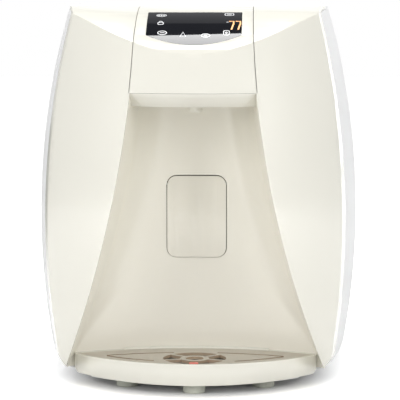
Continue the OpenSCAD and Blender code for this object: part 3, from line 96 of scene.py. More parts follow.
class CoolerStageSettings(bpy.types.PropertyGroup):
    """Camera, floor and lights."""

    camera_place: FloatVectorProperty(
        name="Camera place", description="Where the camera stands", subtype="TRANSLATION", unit="LENGTH",
        default=(0.0732, -2.1988, 0.4149))
    camera_aim: FloatVectorProperty(
        name="Camera aim", description="Direction in which the camera looks", subtype="DIRECTION",
        default=(-0.0328, 0.9935, -0.1087))
    camera_lens: FloatProperty(
        name="Lens", description="Focal length in millimetres", default=188.0, min=1.0)
    floor_reach: length("Floor reach", "Half the side of the floor", 6.0)
    floor_colour: colour("Floor", "Colour of the floor", (0.82, 0.82, 0.82))
    floor_lift: FloatProperty(
        name="Floor lift", description="How much paler the floor looks to the camera than it is",
        default=2.42, min=1.0)
    floor_far: FloatProperty(
        name="Far floor", description="Tone that the camera sees well away from the object",
        default=3.9, min=0.0)
    mirror_near: FloatProperty(
        name="Mirrored near floor", description="Tone of the near floor in mirrors", default=1.6, min=0.0)
    mirror_far: FloatProperty(
        name="Mirrored far floor", description="Tone of the far floor in mirrors", default=3.4, min=0.0)
    room_level: FloatProperty(
        name="Room level", description="Strength of the even light of the room", default=0.27, min=0.0)
    top_level: FloatProperty(
        name="Top lamp", description="Brightness of the soft box over the object", default=11.6, min=0.0)
    front_level: FloatProperty(
        name="Front lamp", description="Brightness of the wide lamp behind the camera", default=1.16, min=0.0)
    left_level: FloatProperty(
        name="Left lamp", description="Brightness of the lamp on the left in front", default=5.0, min=0.0)
    right_level: FloatProperty(
        name="Right lamp", description="Brightness of the lamp on the right in front", default=4.7, min=0.0)
    rim_level: FloatProperty(
        name="Rim lamp", description="Brightness of the upright lamp behind on the right",
        default=2.2, min=0.0)
    top_turn: FloatProperty(
        name="Top lamp turn", description="How far the soft box is turned about the upright", default=0.42,
        subtype="ANGLE")


class CoolerNicheSettings(bpy.types.PropertyGroup):
    """Sizes of the cup niche, as in the solid liner, with a true round between its walls."""

    nose: FloatProperty(
        name="Nose", description="Foremost place of the body", default=-0.201, unit="LENGTH")
    back_axis: FloatProperty(
        name="Back axis", description="Place of the axis of the hollow back wall", default=-0.334,
        unit="LENGTH")
    back_radius: length("Back radius", "Radius of the hollow back wall", 0.250)
    flare: length("Flare radius", "Radius of the flared side walls, seen from the front", 0.872)
    flare_side: length("Flare axis", "Distance of the flare's axis from the middle", 0.9303)
    flare_height: length("Flare height", "Height of the flare's axis", 0.3777)
    draft: FloatProperty(
        name="Draft", description="How much the side walls close in with depth", default=0.08)
    round_high: length("Round", "Radius between side and back wall", 0.038)
    round_low: length("Fold", "Radius of the fold at the foot of the niche", 0.007)
    fold_low: length("Fold start", "Height below which the fold is sharp", 0.034)
    fold_high: length("Fold end", "Height above which the round is full", 0.100)
    skin: length("Skin", "Thickness of the liner", 0.0022)
    hole_width: length("Hole width", "Width of the push pad's opening", 0.0615)
    hole_height: length("Hole height", "Height of the push pad's opening", 0.0847)
    hole_corner: length("Hole corner", "Corner radius of the push pad's opening", 0.0106)
    hole_middle: length("Hole middle", "Height of the middle of the push pad's opening", 0.16695)
    hole_margin: length("Hole margin", "Band of finer faces round the opening", 0.004)


class CoolerCoilSettings(bpy.types.PropertyGroup):
    """Sizes of the spring behind the push pad."""

    wire: length("Wire", "Diameter of the spring's wire", 0.0008)
    turns: IntProperty(name="Turns", description="Turns of the spring", default=6, min=1)
    pressed: FloatProperty(
        name="Pressed", description="Share of its length that the spring keeps under the pressed pad",
        default=0.67, min=0.1, max=1.0)


class CoolerMarkSettings(bpy.types.PropertyGroup):
    """Sizes of the signs of the panel."""

    stroke: length("Stroke", "Width of the lines of the signs", 0.00072)
    bold: length("Bold stroke", "Width of the lines of the lit figures", 0.0016)
    lift: length("Lift", "Distance of the print from the glass", 0.00003)
    print_height: length("Print", "Thickness of the print", 0.00006)


class CoolerFinishSettings(bpy.types.PropertyGroup):
    """Colours of the finishes."""

    ivory: colour("Ivory", "Glossy shells of the front and the head", (0.820, 0.804, 0.722))
    rear_grey: colour("Light grey", "Sides and back", (0.92, 0.925, 0.925))
    niche_beige: colour("Beige", "Walls of the cup niche", (0.872, 0.846, 0.760))
    grille_beige: colour("Grille", "Plate that cups stand on", (0.545, 0.505, 0.435))
    # Painted shade: this tone on the slot walls stands in for the shade down in the grille's slots
    slot_painted_shade: colour("Slots", "Walls of the grille's slots", (0.37, 0.29, 0.21))
    glass_black: colour("Panel glass", "Touch panel", (0.009, 0.0095, 0.012))
    mark_white: colour("Marks", "Signs under the panel glass", (0.85, 0.86, 0.87))
    mark_amber: colour("Figures", "Lit figures under the panel glass", (0.86, 0.42, 0.17))
    # Painted shade: the bracket's dark brown makes the gap round the push pad look shaded
    bracket_gap_shade: colour("Bracket", "Frame behind the push pad", (0.30, 0.24, 0.16))
    float_red: colour("Float", "Float that shows a full tray", (1.0, 0.17, 0.13))
    foot_grey: colour("Feet", "Soft feet", (0.56, 0.57, 0.495))
    dark_plastic: colour("Dark plastic", "Sockets and valves", (0.045, 0.046, 0.050))
    white_plastic: colour("White plastic", "Inner mouldings and hoses", (0.80, 0.80, 0.78))
    grey_plastic: colour("Grey plastic", "Inner brackets and nozzle", (0.42, 0.42, 0.41))
    blue_plastic: colour("Blue plastic", "Filter cartridge caps", (0.10, 0.26, 0.58))
    board_green: colour("Board", "Circuit boards", (0.03, 0.16, 0.07))
    steel: colour("Steel", "Tanks and pins", (0.62, 0.62, 0.61))
    zinc: colour("Zinc", "Plated sheet", (0.56, 0.58, 0.60))
    aluminium: colour("Aluminium", "Condenser fins", (0.78, 0.79, 0.80))
    copper: colour("Copper", "Refrigerant lines", (0.84, 0.45, 0.28))
    enamel: colour("Enamel", "Compressor shell", (0.016, 0.016, 0.018))
    foam: colour("Foam", "Insulation of the tanks", (0.86, 0.85, 0.82))


# Shader helpers

def start_material(name):
    """A new material with its node tree and its main shader."""
    material = bpy.data.materials.new(name)
    material.use_nodes = True
    tree = material.node_tree
    return material, tree, tree.nodes["Principled BSDF"]


def grain(tree, scale, detail=3.0):
    """Noise over the object's own place, scale in patches a metre."""
    place = tree.nodes.new("ShaderNodeTexCoord")
    noise = tree.nodes.new("ShaderNodeTexNoise")
    noise.inputs["Scale"].default_value = scale
    noise.inputs["Detail"].default_value = detail
    tree.links.new(place.outputs["Object"], noise.inputs["Vector"])
    return noise.outputs["Fac"]


def blend_colours(tree, factor, low, high, target):
    """Feeds a colour socket with a blend of two tones."""
    mix = tree.nodes.new("ShaderNodeMix")
    mix.data_type = "RGBA"
    mix.inputs["A"].default_value = (*low, 1.0)
    mix.inputs["B"].default_value = (*high, 1.0)
    tree.links.new(factor, mix.inputs["Factor"])
    tree.links.new(mix.outputs["Result"], target)


def spread(tree, factor, low, high, target):
    """Feeds a number socket with a range of values."""
    span = tree.nodes.new("ShaderNodeMapRange")
    span.inputs["From Min"].default_value = 0.3
    span.inputs["From Max"].default_value = 0.7
    span.inputs["To Min"].default_value = low
    span.inputs["To Max"].default_value = high
    tree.links.new(factor, span.inputs["Value"])
    tree.links.new(span.outputs["Result"], target)


def relief(tree, height, depth, shader):
    """Bumps the surface by a height between nought and one, depth in metres."""
    bump = tree.nodes.new("ShaderNodeBump")
    bump.inputs["Strength"].default_value = 1.0
    bump.inputs["Distance"].default_value = depth
    tree.links.new(height, bump.inputs["Height"])
    tree.links.new(bump.outputs["Normal"], shader.inputs["Normal"])


def shade(tone, share):
    """A darker or paler tone of a colour."""
    return tuple(part * share for part in tone)


def grey(level):
    """A grey of a level, for a colour socket."""
    return (level, level, level, 1.0)


# Finishes

def moulded(name, tone, gloss, skin=900.0, depth=0.0000012, coat=0.0, change=0.97, sheen=0.5, uneven=0.01):
    """Moulded plastic: faint flow marks, a fine skin and gloss that varies a little."""
    material, tree, shader = start_material(name)
    blend_colours(tree, grain(tree, 14.0), shade(tone, change), tone, shader.inputs["Base Color"])
    spread(tree, grain(tree, 25.0), gloss - uneven, gloss + uneven, shader.inputs["Roughness"])
    relief(tree, grain(tree, skin, 1.0), depth, shader)
    shader.inputs["Specular IOR Level"].default_value = sheen
    shader.inputs["Coat Weight"].default_value = coat
    shader.inputs["Coat Roughness"].default_value = 0.05
    return material


def bare_metal(name, tone, gloss, skin=500.0, depth=0.000015):
    """Metal with mill marks and patches of duller sheen."""
    material, tree, shader = start_material(name)
    blend_colours(tree, grain(tree, 30.0), shade(tone, 0.88), tone, shader.inputs["Base Color"])
    spread(tree, grain(tree, 45.0, 5.0), gloss - 0.06, gloss + 0.08, shader.inputs["Roughness"])
    relief(tree, grain(tree, skin, 4.0), depth, shader)
    shader.inputs["Metallic"].default_value = 1.0
    return material


def slotted(name, tone, inside, top, middle):
    """Satin plastic with painted shade in its slots, below its top, and a dark spot of painted shade in the
    middle.
    """
    material, tree, shader = start_material(name)
    flow = tree.nodes.new("ShaderNodeMix")
    flow.data_type = "RGBA"
    flow.inputs["B"].default_value = (*inside, 1.0)
    blend_colours(tree, grain(tree, 40.0), shade(tone, 0.95), tone, flow.inputs["A"])
    place = tree.nodes.new("ShaderNodeTexCoord")
    part = tree.nodes.new("ShaderNodeSeparateXYZ")
    # Painted shade: the tone turns darker below the top face, down in the slots
    depth = tree.nodes.new("ShaderNodeMapRange")
    depth.inputs["From Min"].default_value = top - SLOT_SHADE_START
    depth.inputs["From Max"].default_value = top - SLOT_SHADE_FULL
    tree.links.new(place.outputs["Object"], part.inputs["Vector"])
    tree.links.new(part.outputs["Z"], depth.inputs["Value"])
    tree.links.new(depth.outputs["Result"], flow.inputs["Factor"])
    flat = tree.nodes.new("ShaderNodeVectorMath")
    flat.operation = "MULTIPLY"
    flat.inputs[1].default_value = (1.0, 1.0, 0.0)
    away = tree.nodes.new("ShaderNodeVectorMath")
    away.operation = "DISTANCE"
    away.inputs[1].default_value = (*middle, 0.0)
    tree.links.new(place.outputs["Object"], flat.inputs[0])
    tree.links.new(flat.outputs["Vector"], away.inputs[0])
    # Painted shade: a dark spot at the boss's middle, in the base colour
    dot = tree.nodes.new("ShaderNodeMapRange")
    dot.inputs["From Min"].default_value = HOLE_SHADE_OUTER
    dot.inputs["From Max"].default_value = HOLE_SHADE_INNER
    tree.links.new(away.outputs["Value"], dot.inputs["Value"])
    hole = tree.nodes.new("ShaderNodeMix")
    hole.data_type = "RGBA"
    hole.inputs["B"].default_value = (*shade(inside, 0.12), 1.0)
    tree.links.new(dot.outputs["Result"], hole.inputs["Factor"])
    tree.links.new(flow.outputs["Result"], hole.inputs["A"])
    tree.links.new(hole.outputs["Result"], shader.inputs["Base Color"])
    spread(tree, grain(tree, 80.0), 0.36, 0.44, shader.inputs["Roughness"])
    relief(tree, grain(tree, 1200.0, 1.0), 0.000002, shader)
    return material


def soft_rubber(name, tone):
    """Dull rubber with a dusty bloom."""
    material, tree, shader = start_material(name)
    blend_colours(tree, grain(tree, 90.0, 5.0), shade(tone, 0.85), tone, shader.inputs["Base Color"])
    spread(tree, grain(tree, 200.0), 0.62, 0.78, shader.inputs["Roughness"])
    relief(tree, grain(tree, 1400.0, 2.0), 0.00003, shader)
    return material


def foamed(name, tone):
    """Cellular foam with pores."""
    material, tree, shader = start_material(name)
    place = tree.nodes.new("ShaderNodeTexCoord")
    cells = tree.nodes.new("ShaderNodeTexVoronoi")
    cells.inputs["Scale"].default_value = 420.0
    tree.links.new(place.outputs["Object"], cells.inputs["Vector"])
    blend_colours(tree, cells.outputs["Distance"], shade(tone, 0.86), tone, shader.inputs["Base Color"])
    spread(tree, grain(tree, 120.0), 0.78, 0.92, shader.inputs["Roughness"])
    relief(tree, cells.outputs["Distance"], 0.0003, shader)
    return material


def panel_glass(name, tone):
    """Black glass of the touch panel, with faint haze left by wiping."""
    material, tree, shader = start_material(name)
    blend_colours(tree, grain(tree, 20.0), tone, shade(tone, 1.4), shader.inputs["Base Color"])
    spread(tree, grain(tree, 25.0, 6.0), 0.02, 0.05, shader.inputs["Roughness"])
    relief(tree, grain(tree, 30.0, 0.0), 0.000004, shader)
    shader.inputs["IOR"].default_value = 1.5
    shader.inputs["Specular IOR Level"].default_value = 0.37
    return material


def circuit(name, tone):
    """Solder mask with rows of tracks under it."""
    material, tree, shader = start_material(name)
    place = tree.nodes.new("ShaderNodeTexCoord")
    tracks = tree.nodes.new("ShaderNodeTexBrick")
    tracks.inputs["Scale"].default_value = 90.0
    tracks.inputs["Mortar Size"].default_value = 0.03
    tracks.inputs["Color1"].default_value = (*tone, 1.0)
    tracks.inputs["Color2"].default_value = (*shade(tone, 0.8), 1.0)
    tracks.inputs["Mortar"].default_value = (*shade(tone, 1.7), 1.0)
    tree.links.new(place.outputs["Object"], tracks.inputs["Vector"])
    tree.links.new(tracks.outputs["Color"], shader.inputs["Base Color"])
    spread(tree, grain(tree, 70.0), 0.28, 0.4, shader.inputs["Roughness"])
    relief(tree, tracks.outputs["Fac"], 0.00003, shader)
    return material


def lit_mark(name, tone, glow):
    """Print under the glass that is lit from behind."""
    material, tree, shader = start_material(name)
    patches = grain(tree, 400.0, 1.0)
    blend_colours(tree, patches, shade(tone, 0.92), tone, shader.inputs["Base Color"])
    blend_colours(tree, patches, shade(tone, 0.92), tone, shader.inputs["Emission Color"])
    spread(tree, patches, 0.3, 0.4, shader.inputs["Roughness"])
    shader.inputs["Emission Strength"].default_value = glow
    return material


def dress(names, material):
    """Gives CAD nodes their finish."""
    for name in names:
        node = NODES[name]
        for slot in node.material_slots:
            slot.material = material
        if not node.material_slots:
            node.data.materials.append(material)


def soften(names, width):
    """Rounds the sharp edges of CAD nodes with modifiers, so that they catch the light."""
    for name in names:
        weld = NODES[name].modifiers.new("weld", "WELD")
        weld.merge_threshold = 0.00001
        bevel = NODES[name].modifiers.new("bevel", "BEVEL")
        bevel.width = width
        bevel.segments = 2
        bevel.limit_method = "ANGLE"
        bevel.angle_limit = math.radians(35.0)
        bevel.harden_normals = True
        bevel.use_clamp_overlap = True


def finish_settings():
    """The scene's finish settings."""
    return bpy.context.scene.cooler_finish


# Cup niche

def side_wall(niche, y, z):
    """Half width of the niche at a depth and a height."""
    reach = niche.flare + niche.draft * (y - niche.nose)
    return niche.flare_side - math.sqrt(reach ** 2 - (z - niche.flare_height) ** 2)


def niche_round(niche, z):
    """Radius, middle and lean of the round between side and back wall at a height."""
    share = min(1.0, max(0.0, (z - niche.fold_low) / (niche.fold_high - niche.fold_low)))
    radius = niche.round_low + (niche.round_high - niche.round_low) * share * share * (3.0 - 2.0 * share)
    near, far = niche.nose, niche.back_axis + niche.back_radius
    for _ in range(50):
        y = 0.5 * (near + far)
        step = 0.0001
        lean = (side_wall(niche, y + step, z) - side_wall(niche, y, z)) / step
        x = side_wall(niche, y, z) - radius * math.hypot(1.0, lean)
        if math.hypot(x, y - niche.back_axis) < niche.back_radius - radius:
            near = y
        else:
            far = y
    return radius, x, y, lean


def niche_section(niche, z, front):
    """Points of the right half of the niche at a height, from the middle of the back to the front edge."""
    radius, x, y, lean = niche_round(niche, z)
    first = math.atan2(-lean, 1.0)
    last = math.atan2(y - niche.back_axis, x)
    points = []
    for turn in numpy.linspace(0.5 * math.pi, last, 60):
        points.append((niche.back_radius * math.cos(turn),
                       niche.back_axis + niche.back_radius * math.sin(turn)))
    for turn in numpy.linspace(last, first, 60)[1:]:
        points.append((x + radius * math.cos(turn), y + radius * math.sin(turn)))
    for depth in numpy.linspace(points[-1][1], front, 40)[1:]:
        points.append((side_wall(niche, depth, z), depth))
    return numpy.array(points)


def spaced(points, count):
    """Points along a line, closer where it turns."""
    step = numpy.diff(points, axis=0)
    run = numpy.hypot(step[:, 0], step[:, 1])
    heading = numpy.unwrap(numpy.arctan2(step[:, 1], step[:, 0]))
    turn = numpy.abs(numpy.diff(heading, prepend=heading[0]))
    measure = numpy.concatenate(([0.0], numpy.cumsum(run + 0.03 * turn)))
    places = numpy.linspace(0.0, measure[-1], count)
    return numpy.column_stack([numpy.interp(places, measure, points[:, axis]) for axis in (0, 1)])


def front_edge(tree, z):
    """Depth at which the solid liner's side wall starts, at a height."""
    near, far = -0.22, -0.125
    for _ in range(24):
        y = 0.5 * (near + far)
        if tree.ray_cast(Vector((0.0, y, z)), Vector((1.0, 0.0, 0.0)))[0] is None:
            near = y
        else:
            far = y
    return far


def rounded_gap(niche, x, z):
    """Distance from a place to the rounded opening of the push pad, negative inside it."""
    across = abs(x) - 0.5 * niche.hole_width + niche.hole_corner
    along = abs(z - niche.hole_middle) - 0.5 * niche.hole_height + niche.hole_corner
    outside = math.hypot(max(across, 0.0), max(along, 0.0))
    return outside + min(max(across, along), 0.0) - niche.hole_corner


def on_hole(niche, x, z):
    """Where the line from the middle of the opening to a place crosses its rim."""
    near, far = 0.0, 1.0
    for _ in range(40):
        share = 0.5 * (near + far)
        if rounded_gap(niche, x * share, niche.hole_middle + (z - niche.hole_middle) * share) < 0.0:
            near = share
        else:
            far = share
    return x * share, niche.hole_middle + (z - niche.hole_middle) * share


def thicken(mesh, depth):
    """Gives a sheet of faces a second side, away from its normals, and closes the rims."""
    sheet = list(mesh.faces)
    mesh.normal_update()
    rims = [edge for edge in mesh.edges if len(edge.link_faces) == 1]
    rims = [(edge.link_loops[0].vert, edge.link_loops[0].link_loop_next.vert) for edge in rims]
    behind = {vert: mesh.verts.new(vert.co - vert.normal * depth) for vert in list(mesh.verts)}
    for face in sheet:
        mesh.faces.new([behind[vert] for vert in reversed(face.verts)])
    for first, second in rims:
        mesh.faces.new((second, first, behind[first], behind[second]))


def finished(name, mesh, material, body, sharp=35.0):
    """Makes an object of a mesh, smooth but for its sharp edges, riding on a body."""
    bmesh.ops.recalc_face_normals(mesh, faces=mesh.faces)
    data = bpy.data.meshes.new(name)
    mesh.to_mesh(data)
    mesh.free()
    data.shade_smooth()
    data.set_sharp_from_angle(angle=math.radians(sharp))
    data.materials.append(material)
    piece = bpy.data.objects.new(name, data)
    bpy.context.scene.collection.objects.link(piece)
    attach(piece, body)
    return piece


# Signs of the panel

def oval(x, y, wide, deep, start=0.0, sweep=360.0, sides=28):
    """Arc of an oval, in degrees from the right."""
    points = []
    for step in range(sides + 1):
        turn = math.radians(start + sweep * step / sides)
        points.append((x + 0.5 * wide * math.cos(turn), y + 0.5 * deep * math.sin(turn)))
    return points


def tablet(x, y, wide, deep, corner):
    """Outline of a rounded rectangle."""
    points = []
    for turn, side, end in ((0.0, 1, 1), (90.0, -1, 1), (180.0, -1, -1), (270.0, 1, -1)):
        points += oval(x + side * (0.5 * wide - corner), y + end * (0.5 * deep - corner),
                       2.0 * corner, 2.0 * corner, turn, 90.0, 5)
    return points + points[:1]


def sign_lines():
    """Lines of the white signs, in millimetres seen from above."""
    return [
        oval(-33.1, -128.7, 9.4, 6.6), oval(-35.4, -128.7, 1.1, 1.6), oval(-33.1, -128.7, 1.1, 1.6),
        oval(-30.8, -128.7, 1.1, 1.6),
        tablet(-33.1, -148.0, 5.2, 4.2, 1.0), oval(-33.1, -145.9, 3.2, 5.0, 0.0, 180.0, 12),
        oval(-30.8, -164.5, 8.6, 5.6), [(-33.0, -164.5), (-28.6, -164.5)],
        tablet(33.9, -125.7, 8.6, 6.4, 1.6), [(31.4, -124.6), (36.4, -124.6)],
        [(31.4, -127.0), (36.4, -127.0)],
        [(31.3, -145.0), (33.6, -145.0)], oval(31.7, -164.4, 1.6, 2.4),
        tablet(31.7, -164.4, 5.4, 6.8, 1.2),
        [(-10.4, -163.4), (-13.2, -170.2), (-7.6, -170.2), (-10.4, -163.4)],
        oval(11.6, -168.6, 8.4, 5.0), oval(11.6, -168.6, 2.2, 1.6),
    ]


def figure_lines():
    """Lines of the lit figures, in millimetres seen from above."""
    lines = []
    for x in (33.8, 40.4):
        lines.append([(x, -143.4), (x + 4.6, -143.4), (x + 4.6, -150.2), (x + 3.9, -151.0),
                      (x + 3.9, -152.4), (x + 2.6, -159.2)])
    return lines


def draped(lines, width, glass, marks):
    """Flat strips along lines, laid over the glass."""
    mesh = bmesh.new()

    def lay(place, height):
        """Point over the glass at a place seen from above."""
        above = Vector((place[0] * MM, place[1] * MM, 0.5))
        hit, normal, _, _ = glass.ray_cast(above, Vector((0.0, 0.0, -1.0)))
        if hit is None:
            raise RuntimeError("a sign lies off the glass")
        return hit + normal * height

    for line in lines:
        closed = math.dist(line[0], line[-1]) < 1e-6
        stops = line[:-1] if closed else line
        rows = []
        for index, (x, y) in enumerate(stops):
            before = stops[index - 1] if index or closed else stops[index]
            after = stops[(index + 1) % len(stops)] if index + 1 < len(stops) or closed else stops[index]
            along = Vector((after[0] - before[0], after[1] - before[1])).normalized()
            aside = Vector((-along.y, along.x)) * (0.5 * width / MM)
            ends = ((x + aside.x, y + aside.y), (x - aside.x, y - aside.y))
            low = marks.lift
            high = marks.lift + marks.print_height
            rows.append([mesh.verts.new(lay(end, height)) for height in (high, low) for end in ends])
        pairs = list(zip(rows, rows[1:])) + ([(rows[-1], rows[0])] if closed else [])
        for one, two in pairs:
            for first, second in ((0, 1), (1, 3), (3, 2), (2, 0)):
                mesh.faces.new((one[first], one[second], two[second], two[first]))
        if not closed:
            for row in (rows[0], rows[-1]):
                mesh.faces.new((row[0], row[1], row[3], row[2]))
    return mesh


def solid_tree(name):
    """Search tree over the faces of a CAD node."""
    return BVHTree.FromObject(NODES[name], bpy.context.evaluated_depsgraph_get())


# Operators

class COOLER_OT_stage(bpy.types.Operator):
    """Sets up the camera, the pale floor, the white surround and the soft lamps"""

    bl_idname = "cooler.stage"
    bl_label = "Stage"

    def execute(self, context):
        stage = context.scene.cooler_stage
        context.scene.view_settings.view_transform = "Standard"
        self.place_camera(context, stage)
        self.lay_floor(stage)
        self.light_room(context, stage)
        niche_mouth = (0.0, -0.1, 0.18)
        self.hang_lamp("top_lamp", (0.0, 0.09, 1.55), (0.0, 0.09, 0.38), (0.62, 0.60), stage.top_level,
                       stage.top_turn)
        self.hang_lamp("rim_lamp", (1.3, 2.2, 0.72), (0.1, 0.0, 0.35), (0.36, 1.3), stage.rim_level)
        for name, place, size, level in (
                ("front_lamp", (0.0, -3.0, 1.6), (2.4, 1.8), stage.front_level),
                ("left_lamp", (-2.3, -2.3, 1.2), (1.6, 1.6), stage.left_level),
                ("right_lamp", (2.3, -2.3, 1.2), (1.6, 1.6), stage.right_level)):
            lamp = self.hang_lamp(name, place, niche_mouth, size, level)
            lamp.visible_glossy = False
        return {"FINISHED"}

    def place_camera(self, context, stage):
        """Puts the camera where the photograph was taken."""
        lens = bpy.data.cameras.new("camera")
        lens.sensor_fit = "HORIZONTAL"
        lens.sensor_width = 36.0
        lens.lens = stage.camera_lens
        lens.clip_end = 50.0
        camera = bpy.data.objects.new("camera", lens)
        camera.location = stage.camera_place
        camera.rotation_euler = Vector(stage.camera_aim).to_track_quat("-Z", "Y").to_euler()
        context.scene.collection.objects.link(camera)
        context.scene.camera = camera

    def lay_floor(self, stage):
        """Lays a pale floor that looks white to the camera and keeps the shadow, with a painted shadow under
        the object's front.
        """
        mesh = bmesh.new()
        bmesh.ops.create_grid(mesh, x_segments=8, y_segments=8, size=stage.floor_reach)
        data = bpy.data.meshes.new("floor")
        mesh.to_mesh(data)
        mesh.free()
        floor = bpy.data.objects.new("floor", data)
        bpy.context.scene.collection.objects.link(floor)
        material, tree, shader = start_material("floor_paper")
        tree.nodes.remove(shader)
        paper = tree.nodes.new("ShaderNodeBsdfDiffuse")
        path = tree.nodes.new("ShaderNodeLightPath")
        tone = tree.nodes.new("ShaderNodeMix")
        tone.data_type = "RGBA"
        mirrored = tree.nodes.new("ShaderNodeMix")
        mirrored.data_type = "RGBA"
        mirrored.inputs["A"].default_value = (*stage.floor_colour, 1.0)
        depth = tree.nodes.new("ShaderNodeMix")
        depth.data_type = "RGBA"
        depth.inputs["A"].default_value = grey(stage.mirror_near)
        depth.inputs["B"].default_value = grey(stage.mirror_far)
        tree.links.new(self.far_out(tree), depth.inputs["Factor"])
        self.dim_left(tree, depth.outputs["Result"], mirrored.inputs["B"], "Object",
                      across=(-0.25, -0.6), along=(0.1, 0.5))
        tree.links.new(path.outputs["Is Glossy Ray"], mirrored.inputs["Factor"])
        tree.links.new(mirrored.outputs["Result"], tone.inputs["A"])
        # Painted shadow: the camera's lift is cut under the object's front
        near = tree.nodes.new("ShaderNodeVectorMath")
        near.operation = "SCALE"
        near.inputs[0].default_value = shade(stage.floor_colour, stage.floor_lift)
        tree.links.new(self.painted_floor_shadow(tree), near.inputs["Scale"])
        paler = tree.nodes.new("ShaderNodeMix")
        paler.data_type = "RGBA"
        paler.inputs["B"].default_value = grey(stage.floor_far)
        tree.links.new(self.far_out(tree), paler.inputs["Factor"])
        tree.links.new(near.outputs["Vector"], paler.inputs["A"])
        tree.links.new(paler.outputs["Result"], tone.inputs["B"])
        tree.links.new(path.outputs["Is Camera Ray"], tone.inputs["Factor"])
        tree.links.new(tone.outputs["Result"], paper.inputs["Color"])
        tree.links.new(paper.outputs["BSDF"], tree.nodes["Material Output"].inputs["Surface"])
        data.materials.append(material)

    def far_out(self, tree):
        """Nought near the object and one well away from it."""
        place = tree.nodes.new("ShaderNodeTexCoord")
        away = tree.nodes.new("ShaderNodeVectorMath")
        away.operation = "LENGTH"
        span = tree.nodes.new("ShaderNodeMapRange")
        span.inputs["From Min"].default_value = 0.45
        span.inputs["From Max"].default_value = 1.6
        tree.links.new(place.outputs["Object"], away.inputs[0])
        tree.links.new(away.outputs["Value"], span.inputs["Value"])
        return span.outputs["Result"]

    def painted_floor_shadow(self, tree):
        """Share of the floor's lift near the object: less under its front, a painted shadow for the camera.
        """
        place = tree.nodes.new("ShaderNodeTexCoord")
        away = tree.nodes.new("ShaderNodeVectorMath")
        away.operation = "DISTANCE"
        away.inputs[1].default_value = (0.0, -0.06, 0.0)
        span = tree.nodes.new("ShaderNodeMapRange")
        span.inputs["From Min"].default_value = 0.105
        span.inputs["From Max"].default_value = 0.145
        span.inputs["To Min"].default_value = 0.35
        tree.links.new(place.outputs["Object"], away.inputs[0])
        tree.links.new(away.outputs["Value"], span.inputs["Value"])
        return span.outputs["Result"]

    def dim_left(self, tree, tone, target, space, across, along):
        """Passes a colour on, but dims it in mirrors where it lies to the left behind the object."""
        place = tree.nodes.new("ShaderNodeTexCoord")
        part = tree.nodes.new("ShaderNodeSeparateXYZ")
        tree.links.new(place.outputs[space], part.inputs["Vector"])
        share = tree.nodes.new("ShaderNodeLightPath").outputs["Is Glossy Ray"]
        for axis, (start, stop) in (("X", across), ("Y", along)):
            span = tree.nodes.new("ShaderNodeMapRange")
            span.inputs["From Min"].default_value = start
            span.inputs["From Max"].default_value = stop
            tree.links.new(part.outputs[axis], span.inputs["Value"])
            both = tree.nodes.new("ShaderNodeMath")
            both.operation = "MULTIPLY"
            tree.links.new(share, both.inputs[0])
            tree.links.new(span.outputs["Result"], both.inputs[1])
            share = both.outputs["Value"]
        mix = tree.nodes.new("ShaderNodeMix")
        mix.data_type = "RGBA"
        mix.inputs["B"].default_value = (0.60, 0.60, 0.58, 1.0)
        tree.links.new(share, mix.inputs["Factor"])
        tree.links.new(tone, mix.inputs["A"])
        tree.links.new(mix.outputs["Result"], target)

    def seen_rays(self, tree):
        """One where a ray comes from the camera, a mirror or glass."""
        path = tree.nodes.new("ShaderNodeLightPath")
        total = path.outputs["Is Camera Ray"]
        for kind in ("Is Glossy Ray", "Is Transmission Ray"):
            larger = tree.nodes.new("ShaderNodeMath")
            larger.operation = "MAXIMUM"
            tree.links.new(total, larger.inputs[0])
            tree.links.new(path.outputs[kind], larger.inputs[1])
            total = larger.outputs["Value"]
        return total

    def light_room(self, context, stage):
        """Fills the room with even light and shows white behind the object."""
        world = bpy.data.worlds.new("room")
        world.use_nodes = True
        context.scene.world = world
        tree = world.node_tree
        light = tree.nodes["Background"]
        light.inputs["Strength"].default_value = stage.room_level
        light.inputs["Color"].default_value = (1.0, 1.0, 1.0, 1.0)
        white = tree.nodes.new("ShaderNodeBackground")
        self.dim_left(tree, self.ceiling(tree), white.inputs["Color"], "Generated",
                      across=(-0.1, -0.3), along=(0.1, 0.4))
        choice = tree.nodes.new("ShaderNodeMixShader")
        tree.links.new(self.seen_rays(tree), choice.inputs["Fac"])
        tree.links.new(light.outputs["Background"], choice.inputs[1])
        tree.links.new(white.outputs["Background"], choice.inputs[2])
        tree.links.new(choice.outputs["Shader"], tree.nodes["World Output"].inputs["Surface"])

    def ceiling(self, tree):
        """White all round, with a dim wall and a dark ceiling high above."""
        place = tree.nodes.new("ShaderNodeTexCoord")
        part = tree.nodes.new("ShaderNodeSeparateXYZ")
        steps = tree.nodes.new("ShaderNodeValToRGB")
        tree.links.new(place.outputs["Generated"], part.inputs["Vector"])
        tree.links.new(part.outputs["Z"], steps.inputs["Fac"])
        ramp = steps.color_ramp
        ramp.elements[0].position = 0.35
        ramp.elements[0].color = (1.0, 1.0, 1.0, 1.0)
        ramp.elements[1].position = 0.5
        ramp.elements[1].color = (0.38, 0.38, 0.39, 1.0)
        for height, level in ((0.76, 0.29), (0.775, 0.045)):
            entry = ramp.elements.new(height)
            entry.color = grey(level)
        return steps.outputs["Color"]

    def hang_lamp(self, name, place, target, size, level, turn=0.0):
        """Hangs a flat lamp of an even brightness."""
        wide, deep = size
        lamp = bpy.data.lights.new(name, "AREA")
        lamp.shape = "RECTANGLE"
        lamp.size = wide
        lamp.size_y = deep
        lamp.energy = level * math.pi * wide * deep
        holder = bpy.data.objects.new(name, lamp)
        holder.location = place
        aim = (Vector(target) - Vector(place)).to_track_quat("-Z", "Y")
        holder.rotation_euler = (aim @ Euler((0.0, 0.0, turn)).to_quaternion()).to_euler()
        holder.visible_camera = False
        bpy.context.scene.collection.objects.link(holder)
        return holder


